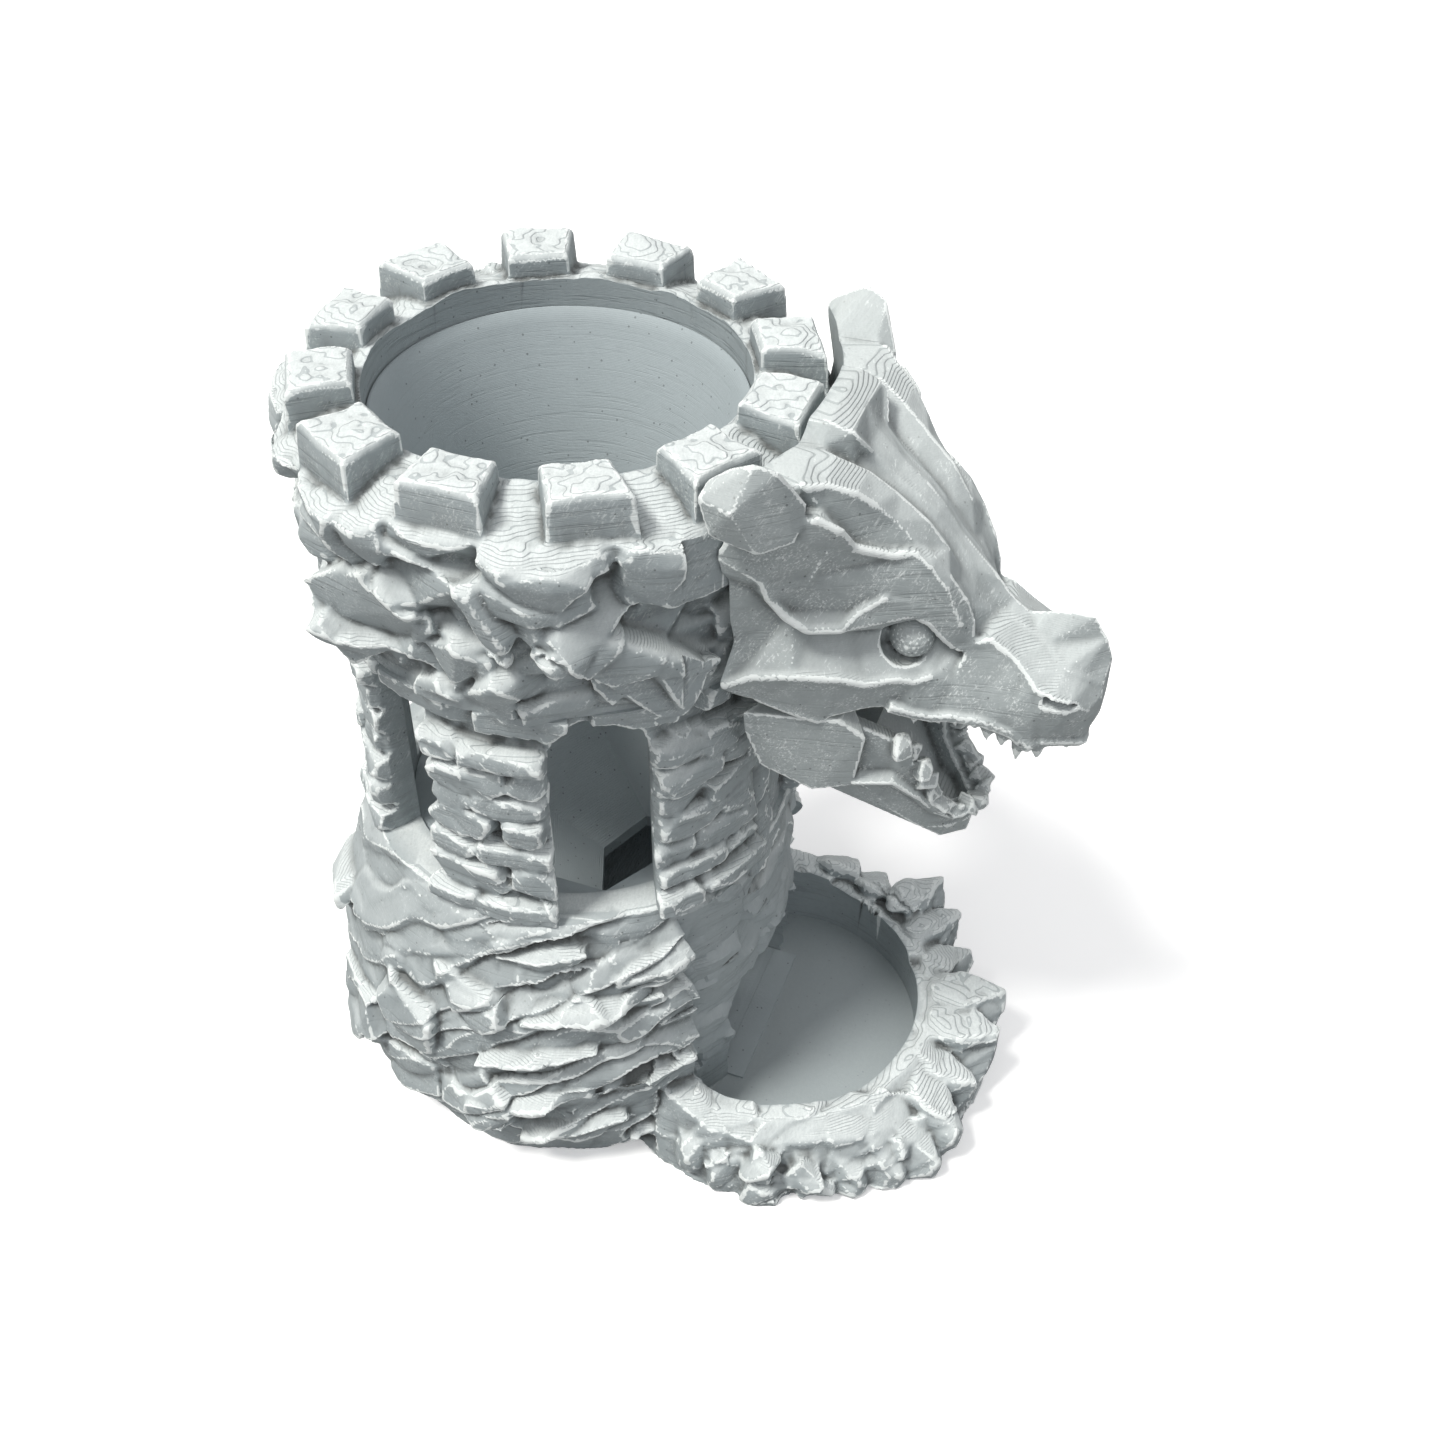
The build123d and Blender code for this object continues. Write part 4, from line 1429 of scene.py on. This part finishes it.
@dataclass
class DragonHead:
    """Skull and lower jaw, built from chiselled plates mirrored in X = 0."""

    back_radius: float = 49.4
    front_limit: float = -102.9
    grain: float = 0.40
    eye: tuple = (11.5, -69.5, 137.8)
    eye_radius: float = 3.9
    skull_seed: int = 51
    jaw_seed: int = 54

    def _spine(self, depth: float) -> Vector:
        """Point on the middle line inside the skull.

        Args:
            depth: How far forward, along -Y.

        Returns:
            The point in millimetres.
        """
        place = min(max(depth, -98.0), -44.0)
        return Vector((0, place, float(np.interp(-place, (44, 58, 68, 80, 98), (150, 148, 141, 131, 127)))))

    def _web(self, clay: Clay, first: list, second: list) -> None:
        """Fills the skull between its spine and the facets that join two edge lines.

        Args:
            clay: The lump that it is added to.
            first: Points along one edge line, from back to front, on the +X side.
            second: Points along its neighbour.
        """
        first, second = [Vector(p) for p in first], [Vector(p) for p in second]
        i = j = 0
        while i < len(first) - 1 or j < len(second) - 1:
            along_first = (first[i + 1] - second[j]).length if i < len(first) - 1 else math.inf
            along_second = (second[j + 1] - first[i]).length if j < len(second) - 1 else math.inf
            facet = [first[i], second[j]]
            if along_first <= along_second:
                i += 1
                facet.append(first[i])
            else:
                j += 1
                facet.append(second[j])
            roots = [self._spine(p.y) for p in facet]
            for side in (-1, 1):
                clay.hull([(side * p.x, p.y, p.z) for p in facet + roots])

    def _edge(self, clay: Clay, line: list, rise: float = 0.3, foot: float = 0.9) -> None:
        """Raises an edge line a little, so that the faces beside it read as hollow-ground.

        Args:
            clay: The lump that it is added to.
            line: Points along the edge, from back to front, on the +X side.
            rise: How far the edge stands up.
            foot: Half width of its foot.
        """
        points = [Vector(p) for p in line]
        for a, b in zip(points, points[1:]):
            ring = []
            for p in (a, b):
                out = (p - self._spine(p.y)).normalized()
                across = (b - a).cross(out).normalized()
                ring += [
                    p + rise * out, p - across * foot - 0.35 * out, p + across * foot - 0.35 * out,
                    p - 4.0 * out,
                ]
            clay.hull([(max(p.x, 0.0), p.y, p.z) for p in ring])
            clay.hull([(-max(p.x, 0.0), p.y, p.z) for p in ring])

    def _faces(self, clay: Clay) -> None:
        """Adds the skull's chiselled faces, each between two of its edge lines.

        Args:
            clay: The lump that they are added to.
        """
        # Over the middle: nape, forehead, bridge and tip of the nose, down to the lip.
        middle = [
            (0, -44, 175.4), (0, -52, 175.6), (0, -55.6, 173.8), (0, -58, 169.4), (0, -62.8, 164.6),
            (0, -67.4, 161), (0, -70.4, 157.8), (0, -74, 152.8), (0, -78, 148.6), (0, -81.8, 144.8),
            (0, -84.6, 141.4), (0, -87.4, 139.5), (0, -91.6, 140.7), (0, -95.8, 141.5), (0, -98.8, 141.3),
            (0, -101.4, 137.6), (0, -102.8, 133.8), (0, -102.9, 127), (0, -102.6, 121), (0, -101, 116.6),
        ]
        # Along the top of the forehead, where the ridge rises from the bridge.
        crest = [
            (9, -44, 174.6), (9, -52, 174.8), (8.4, -56, 173.4), (4.2, -57.4, 168.6), (3.4, -62.2, 163.6),
            (2.8, -66.9, 160.2), (2.3, -70, 157.2), (2, -73.4, 152.6), (2.6, -77.2, 148),
        ]
        # The groove beside that ridge.
        valley = [
            (12.5, -44, 171.6), (11.5, -51.4, 171.2), (8.6, -56.4, 167.2), (6.6, -59.6, 164.6),
            (5.8, -62.8, 162.4), (5, -67.2, 158.6), (4.4, -71.6, 154.4), (4.8, -75.4, 149),
            (5.2, -78.6, 144.6), (7.2, -78.8, 143.2),
        ]
        # The band between the groove and the brow.
        band = [
            (17, -44, 172), (14.8, -50.4, 171.8), (12.8, -54.6, 171.2), (10.8, -59.8, 168.4),
            (9.6, -64.5, 164.6), (8.8, -69.8, 160), (7.8, -73.6, 154.6), (7.4, -76, 148.2),
            (7.2, -78.8, 143.2),
        ]
        # The edge of the bridge and of the nose.
        nose_line = [
            (2.6, -77.2, 148), (3, -80.2, 142.6), (3, -82, 139.8), (2.4, -85.3, 139.2), (2.8, -89.1, 137.3),
            (3.6, -91.7, 136.1), (6, -95.6, 133.3), (5.2, -98.3, 132.1), (4, -100.4, 130.7),
            (3, -102.4, 129.6), (2.8, -102.6, 124), (2.6, -101.6, 119.4), (2.6, -100.8, 116.8),
        ]
        # The brow, from the horn down to the corner of the eye.
        brow = [
            (25.5, -44, 171), (23.6, -52.4, 171.6), (20.4, -55.1, 170.6), (17.6, -59.3, 168.4),
            (15.4, -62.3, 165.3), (13.4, -65.1, 161.8), (12.2, -69.4, 156.7), (12.6, -71.9, 155),
            (11.9, -75, 151.2), (10.8, -77.5, 146.9), (10, -79, 142.2), (10.4, -79.3, 137.7),
        ]
        # The upper edge of the snout's side.
        snout_edge = [
            (7.2, -78.8, 143.2), (10.4, -79.3, 137.7), (9, -82.5, 138.4), (8.8, -86.7, 135.6),
            (9.4, -89.3, 133.5), (10.6, -91.6, 131.2), (11.4, -95, 130.1), (9.8, -97.9, 128.8),
            (6.6, -101, 126), (3.2, -102.7, 127.4),
        ]
        # The edge of the hollow above the brow plate.
        hollow = [
            (28.6, -42, 167), (25.4, -55.2, 167.2), (23.4, -58.8, 164.4), (20.8, -60.3, 160.1),
            (16.9, -65.6, 157.4), (14.4, -68.8, 157), (13.9, -71.8, 154.4), (13.2, -74.5, 150.5),
            (12.8, -76.2, 146), (12.2, -77.7, 142.2),
        ]
        # The fold behind that hollow.
        fold = [
            (28.8, -41, 161), (27.4, -50.7, 162.1), (22.6, -54.2, 154), (23.2, -51.2, 146.6),
        ]
        # The floor of the hollow.
        foot = [
            (23, -44, 166), (21.6, -55.2, 166.6), (20.4, -57.2, 163.5), (18.4, -60.2, 159.4),
            (15.4, -65.2, 157), (13.2, -68.7, 157), (12.6, -71.9, 155),
        ]
        # The lower edge of the brow plate, arched over the eye.
        plate = [
            (28.6, -39.6, 158.4), (27.4, -47.1, 154.2), (26.8, -48.2, 150.5), (25.4, -50.9, 146),
            (24, -54.2, 143.1), (21.8, -59.4, 143.1), (19.9, -62.1, 146.5), (18, -65.7, 149.3),
            (16.2, -68.8, 146.4), (14.4, -72.9, 143.4), (12.8, -75.5, 139.3), (11.6, -77.3, 137),
            (10.4, -79.3, 137.7),
        ]
        # The overhang under the plate.
        under = [
            (28.0, -39, 154.6), (25, -44.9, 151), (22.6, -47.6, 145.6), (20.6, -50.6, 143.8),
            (18.8, -54.2, 140.6), (16, -59.2, 140.4), (14, -62.8, 142.4), (11.4, -66, 143.6),
            (9.6, -69.4, 142.4), (9.2, -73, 139.4), (9, -75.8, 136.4), (9.4, -78.2, 135.2),
        ]
        # The cheek bone.
        cheek = [
            (28, -38.4, 137), (28.2, -41, 130.3), (27, -46, 132.8), (25.2, -52.6, 133.3),
            (22.6, -59.4, 132.8), (20.2, -64.1, 131.1), (17.8, -68.7, 131.7), (16, -71.8, 130.7),
            (14.4, -74.4, 131.5),
        ]
        # The lower edge of the cheek.
        wedge = [
            (25.4, -38.4, 127), (24.6, -45.7, 126.2), (22.6, -52.1, 123), (21, -56.4, 121),
            (20.2, -58.2, 122.7), (17.8, -63.8, 124.5), (16.6, -67.5, 125.2),
        ]
        # Along the flat of the snout's side.
        side = [
            (14.4, -74.4, 131.5), (12.6, -77.6, 130.2), (11.9, -82.5, 128), (11.6, -88, 126.6),
            (11.2, -92.4, 125.6), (9.6, -97, 124.6), (6.6, -100.6, 124.2), (3, -102.6, 123.6),
        ]
        # The upper lip.
        lip = [
            (17.8, -67.8, 125.1), (16.2, -71.6, 123.6), (15, -75, 122.7), (14.2, -78.3, 123.1),
            (12.9, -83.5, 122.5), (11.6, -88.3, 120.6), (10.2, -92.1, 116.7), (9.4, -93.3, 117.9),
            (7, -97.2, 117.3), (4.8, -100.5, 116.5), (2.6, -100.8, 116.8),
        ]
        self._web(clay, middle, crest + nose_line[1:])
        self._web(clay, crest, valley)
        self._web(clay, valley, band)
        self._web(clay, band, brow)
        self._web(clay, nose_line, snout_edge)
        self._web(clay, brow[:8], foot)
        self._web(clay, foot[:-1], hollow[:6])
        self._web(clay, brow[7:], hollow[5:] + [brow[-1]])
        self._web(clay, hollow[:3], fold)
        self._web(clay, hollow[2:], fold[1:] + plate[4:])
        self._web(clay, fold, plate[:5])
        self._web(clay, plate, under)
        self._web(clay, under, cheek)
        self._web(clay, under[-2:] + snout_edge[1:], side)
        self._web(clay, cheek, wedge + lip[1:3])
        self._web(clay, side, lip[2:])
        for line in (brow[1:], hollow[1:], plate, cheek[1:], snout_edge[1:8], nose_line[:9], wedge[1:]):
            self._edge(clay, line)
        self._edge(clay, crest[2:], 0.3, 1.4)
        self._edge(clay, lip, 0.5, 1.4)

    def _horns(self, clay: Clay) -> None:
        """Adds the blunt, chiselled horn stubs.

        Args:
            clay: The lump that they are added to.
        """
        clay.mirrored_hull([
            (30.5, -39.2, 174.0), (30.2, -42.8, 176.8), (30.4, -46.9, 178.7), (29.2, -50.4, 177.2),
            (25.3, -53.8, 169.6), (26.0, -53.8, 166.8), (28.0, -53.0, 163.8), (31.5, -48.0, 162.4),
            (34.8, -44.4, 171.6), (33.4, -38.4, 172.2), (33.2, -40.4, 165.4), (22, -42, 170.4),
            (21, -50, 168.6), (22, -44, 162),
        ])

    def _eyes(self) -> bpy.types.Object:
        """Makes the round eyes and the crescent lid under each.

        Returns:
            Both eyes as one object.
        """
        clay = Clay()
        x, y, z = self.eye
        for side in (-1, 1):
            clay.ball((side * x, y, z), self.eye_radius)
        for first, last in ((165, 200), (200, 235), (235, 270), (270, 300)):
            ring = []
            for turn in (first, last):
                c, s = math.cos(math.radians(turn)), math.sin(math.radians(turn))
                for out, reach in ((1.6, 4.6), (2.6, 5.3), (-0.5, 6.6), (-4.5, 6.0), (-4.5, 4.2)):
                    ring.append((x + out, y - 0.95 * reach * c, z + reach * s))
            clay.mirrored_hull(ring)
        return clay.to_object("eyes")

    def _upper_teeth(self, clay: Clay) -> None:
        """Adds the jagged upper teeth along the lip.

        Args:
            clay: The lump that they are added to.
        """
        dice = clay.dice
        for x, y, z, reach in (
            (16.6, -69.4, 124.4, 2.4), (15.4, -72.0, 122.8, 2.8), (14.4, -75.4, 122.6, 2.2),
            (13.4, -78.6, 123.0, 3.2), (12.8, -81.6, 122.4, 2.6), (12.2, -84.4, 121.0, 3.8),
            (11.4, -87.2, 119.2, 3.2), (10.6, -90.2, 117.2, 4.4), (9.4, -93.4, 116.6, 3.2),
            (6.4, -97.6, 117.4, 2.6),
        ):
            for side in (-1, 1):
                clay.tooth(
                    Vector((side * (x - 1.4), y, z + 0.8)),
                    Vector((side * (x - 1.0), y - dice.uniform(-0.3, 1.2), z - reach)),
                    dice.uniform(1.2, 1.7),
                )

    def _nostrils(self) -> bpy.types.Object:
        """Makes the wedges cut for the nostrils.

        Returns:
            The cutter.
        """
        clay = Clay()
        clay.mirrored_hull([
            (13.5, -92.5, 131.5), (10.5, -101.5, 127.5), (12.5, -96.5, 130.0), (7.0, -94.0, 129.5),
            (6.0, -98.5, 128.0), (12.5, -97.5, 126.0), (13.5, -93.0, 127.5),
        ])
        x, y, z = self.eye
        for side in (-1, 1):
            clay.ball((side * (x + 2.0), y + 0.2, z + 0.3), self.eye_radius + 0.9)
        return clay.to_object("nostril_cutter")

    def _back_cutter(self) -> bpy.types.Object:
        """Makes the cylinder that clears the crown.

        Returns:
            The cutter.
        """
        clay = Clay()
        clay.turned([(0, 60), (self.back_radius, 60), (self.back_radius, 200), (0, 200)])
        return clay.to_object("back_cutter")

    def _finish_piece(self, piece: bpy.types.Object, replaced: str, finish: bpy.types.Material) -> None:
        """Reads the edges, clears the crown and hands the piece over.

        Args:
            piece: The fused piece.
            replaced: CAD node that it stands for.
            finish: Its material.
        """
        points = points_of(piece.data)
        points[:, 1] = np.maximum(points[:, 1], self.front_limit)
        set_points(piece.data, points)
        fields = read_relief(piece, self.grain)
        carve(piece, self._back_cutter())
        crisp_fields(piece, *fields)
        hand_over(piece, Body.HEAD, finish, (replaced,), crease=30.0)

    def build_skull(self, finish: bpy.types.Material) -> None:
        """Makes the skull.

        Args:
            finish: Its material.
        """
        clay = Clay(self.skull_seed)
        self._faces(clay)
        self._horns(clay)
        self._upper_teeth(clay)
        piece = clay.to_object("dragon_skull_chiselled")
        fuse(piece, self.grain)
        carve(piece, self._nostrils())
        join(piece, self._eyes())
        fuse(piece, self.grain)
        self._finish_piece(piece, "dragon_skull", finish)

    def build_jaw(self, finish: bpy.types.Material) -> None:
        """Makes the lower jaw.

        Args:
            finish: Its material.
        """
        clay = Clay(self.jaw_seed)
        dice = clay.dice
        clay.mirrored_hull([
            (24, -41.8, 121.6), (22, -46.1, 108.4), (20, -55.7, 103.5), (17.6, -62.6, 104.8),
            (18.4, -62.4, 112), (18.6, -64.6, 118.0), (20.0, -60.0, 121.8), (12, -44, 121.6),
            (12, -48, 103), (12, -62, 106), (13, -60, 121.6),
        ])
        rims = (
            ((16.8, -62.6, 119.0), (15.8, -61.8, 104.0)), ((14.8, -69.4, 115.6), (13.0, -67.0, 99.6)),
            ((12.7, -73.6, 108.2), (12.0, -69.8, 95.2)), ((10.0, -75.8, 98.8), (9.0, -74.0, 90.0)),
            ((7.4, -79.6, 94.4), (6.2, -77.9, 86.0)), ((2.0, -83.0, 93.2), (2.0, -82.2, 86.0)),
        )
        for (top, low), (top_2, low_2) in zip(rims, rims[1:]):
            ring = []
            for x, y, z in (top, low, top_2, low_2):
                ring += [(x, y, z), (max(x - 2.8, 0), y + 1.6, z)]
            clay.mirrored_hull(ring)
        mouth_floor = (
            (16, -48, 103.6), (16, -48, 108), (15, -62, 104.6), (14, -63, 108), (12.0, -69.8, 95.2),
            (10.4, -70, 98.6), (9.0, -74.0, 90.0), (7.4, -74, 93),
        )
        chin = (
            (9.0, -74.0, 90.0), (7.4, -74, 93), (6.2, -77.9, 86.0), (2.0, -82.2, 85.4), (7.0, -79.4, 90.0),
            (2.4, -82.8, 89.6), (4, -78, 91.4),
        )
        for corners in (mouth_floor, chin):
            clay.hull([(side * x, y, z) for side in (-1, 1) for x, y, z in corners])
        for x, y, z, reach in (
            (15.8, -69.2, 115.2, 2.8), (14.4, -71.6, 112.0, 3.0), (13.2, -73.2, 108.6, 2.6),
            (12.0, -74.6, 104.8, 3.4), (10.8, -75.4, 101.4, 2.6), (9.8, -76.4, 98.2, 3.6),
            (8.8, -78.2, 96.0, 3.2), (7.2, -80.4, 94.4, 3.6), (5.0, -82.2, 93.6, 3.0),
            (2.4, -83.4, 93.2, 5.2),
        ):
            for side in (-1, 1):
                clay.block(
                    Vector((side * (x - 0.8), y - dice.uniform(0.0, 0.9), z + dice.uniform(-0.4, 1.2))),
                    (dice.uniform(1.4, 2.2), dice.uniform(1.3, 2.1), dice.uniform(1.2, 2.4)),
                    facing(side * dice.uniform(10, 80), dice.uniform(-10, 40), dice.uniform(-40, 40)),
                    cuts=10, keep=(0.5, 0.85),
                )
                if dice.random() < 0.6:
                    clay.tooth(
                        Vector((side * (x - 0.9), y + 0.6, z - 0.6)),
                        Vector((
                            side * (x + dice.uniform(-0.6, 0.6)), y - dice.uniform(0.8, 2.2), z + 0.8 * reach,
                        )),
                        dice.uniform(1.3, 1.9),
                    )
        jaw_line = [
            (16.9, -62.3, 104.7), (14.4, -68.8, 104.6), (11.8, -73.0, 100.0), (9.2, -76.0, 95.0),
            (6.0, -79.4, 91.6),
        ]
        self._edge(clay, jaw_line, 0.5, 1.5)
        piece = clay.to_object("lower_jaw_chiselled")
        fuse(piece, self.grain)
        self._finish_piece(piece, "lower_jaw", finish)


# ---- studio ---------------------------------------------------------------------------------


@dataclass
class Studio:
    """Pale floor, soft lights and the camera."""

    yaw: float = -72.0
    pitch: float = 41.77
    roll: float = 1.8
    lens: float = 41.77
    shift: tuple = (-0.0347, -0.0056)
    stand: tuple = (-231.2, -115.7, 318.3)
    horizon: float = 0.24
    zenith: float = 0.98
    key_strength: float = 3.1
    key_angle: float = 15.0
    key_from: tuple = (-0.36, 0.34, 0.86)

    def _camera(self) -> None:
        """Sets the camera beside the tower, looking down at it."""
        yaw, pitch, roll = (math.radians(v) for v in (self.yaw, self.pitch, self.roll))
        back = Vector((math.sin(yaw) * math.cos(pitch), -math.cos(yaw) * math.cos(pitch), math.sin(pitch)))
        right = (-back).cross(Vector((0, 0, 1))).normalized()
        up = right.cross(-back)
        across = math.cos(roll) * right + math.sin(roll) * up
        above = math.cos(roll) * up - math.sin(roll) * right
        camera = bpy.data.objects.new("camera", bpy.data.cameras.new("camera"))
        camera.data.lens = self.lens
        camera.data.shift_x, camera.data.shift_y = self.shift
        camera.data.clip_start, camera.data.clip_end = 0.01, 20
        turn = Matrix((across, above, back)).transposed().to_4x4()
        camera.matrix_world = Matrix.Translation(Vector(self.stand) * MM) @ turn
        bpy.context.scene.collection.objects.link(camera)
        bpy.context.scene.camera = camera

    def _light(self, name: str, place: tuple, aim: tuple, size: float, power: float, tint: str) -> None:
        """Adds one soft square light.

        Args:
            name: Its name.
            place: Where it stands, in metres.
            aim: What it points at, in metres.
            size: Its side, in metres.
            power: Its power in watts.
            tint: Its colour as an sRGB hex code.
        """
        lamp = bpy.data.lights.new(name, "AREA")
        lamp.size, lamp.energy, lamp.color = size, power, linear(tint)[:3]
        made = bpy.data.objects.new(name, lamp)
        made.location = place
        made.rotation_euler = (Vector(aim) - Vector(place)).to_track_quat("-Z", "Y").to_euler()
        bpy.context.scene.collection.objects.link(made)

    def _floor(self) -> None:
        """Adds the pale floor."""
        part = bmesh.new()
        bmesh.ops.create_grid(part, x_segments=8, y_segments=8, size=3.0)
        mesh = bpy.data.meshes.new("floor")
        part.to_mesh(mesh)
        part.free()
        floor = bpy.data.objects.new("floor", mesh)
        bpy.context.scene.collection.objects.link(floor)
        paper = bpy.data.materials.new("matte_white_paper")
        paper.use_nodes = True
        shader = paper.node_tree.nodes["Principled BSDF"]
        # The floor looks white, but throws little light up under the rocks and the jaw.
        seen = add_node(paper.node_tree, "LightPath").outputs["Is Camera Ray"]
        tone = add_node(
            paper.node_tree, "Mix", {"Factor": seen, "A": linear("9A9A9A"), "B": linear("F7F7F7")},
            data_type="RGBA",
        )
        paper.node_tree.links.new(tone.outputs["Result"], shader.inputs["Base Color"])
        glow = add_node(paper.node_tree, "Math", (seen, 0.26), operation="MULTIPLY")
        paper.node_tree.links.new(glow.outputs[0], shader.inputs["Emission Strength"])
        shader.inputs["Roughness"].default_value = 0.9
        shader.inputs["Emission Color"].default_value = linear("FFFFFF")
        mesh.materials.append(paper)

    def build(self) -> None:
        """Sets up the whole studio."""
        scene = bpy.context.scene
        scene.view_settings.view_transform = "Standard"
        world = bpy.data.worlds.new("studio")
        scene.world = world
        world.use_nodes = True
        sky = world.node_tree.nodes["Background"]
        sky.inputs["Color"].default_value = linear("F7F7F8")
        # The light falls off from overhead to the horizon.
        view = add_node(world.node_tree, "TexCoord").outputs["Generated"]
        upward = add_node(world.node_tree, "SeparateXYZ", (view,)).outputs[2]
        fade = add_node(world.node_tree, "MapRange", (upward, 0.0, 1.0, self.horizon, self.zenith))
        world.node_tree.links.new(fade.outputs[0], sky.inputs["Strength"])
        sun = bpy.data.lights.new("top_key", "SUN")
        sun.energy, sun.angle = self.key_strength, math.radians(self.key_angle)
        sun.color = linear("FFFDF8")[:3]
        key = bpy.data.objects.new("top_key", sun)
        key.rotation_euler = Vector(self.key_from).to_track_quat("Z", "Y").to_euler()
        bpy.context.scene.collection.objects.link(key)
        self._light("side_fill", (-0.8, -0.7, 0.5), (0, -0.03, 0.1), 0.8, 1.2, "EEF4FF")
        self._floor()
        self._camera()


def main() -> None:
    logging.basicConfig(level=logging.INFO, format="%(message)s")
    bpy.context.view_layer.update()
    rock = PrintedFinish("FDM_printed_PLA_rock_dry_brushed").build()
    head = PrintedFinish(
        "FDM_printed_PLA_head_dry_brushed", plastic="8B9394", plastic_light="A7AEAF",
        top_dust=0.5, film=0.85, bands=0.05, edge_gain=4.2,
    ).build()
    plain = PrintedFinish(
        "FDM_printed_PLA_bare_grey", plastic="98A1A4", plastic_light="A4ADB0",
        brush=0.25, top_dust=0.1, bands=0.08,
    ).build()
    BasePrint().build(rock)
    ArcadePrint().build(rock)
    CrownPrint().build(rock)
    HopperPrint().build(plain)
    dragon = DragonHead()
    dragon.build_skull(head)
    dragon.build_jaw(head)
    for name in ("dice_chute", "exit_ramp", "base_pins", "crown_pins", "head_pegs", "jaw_pegs"):
        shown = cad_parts[name]
        for slot in shown.material_slots:
            slot.material = plain
    Studio().build()


if __name__ == "__main__":
    main()
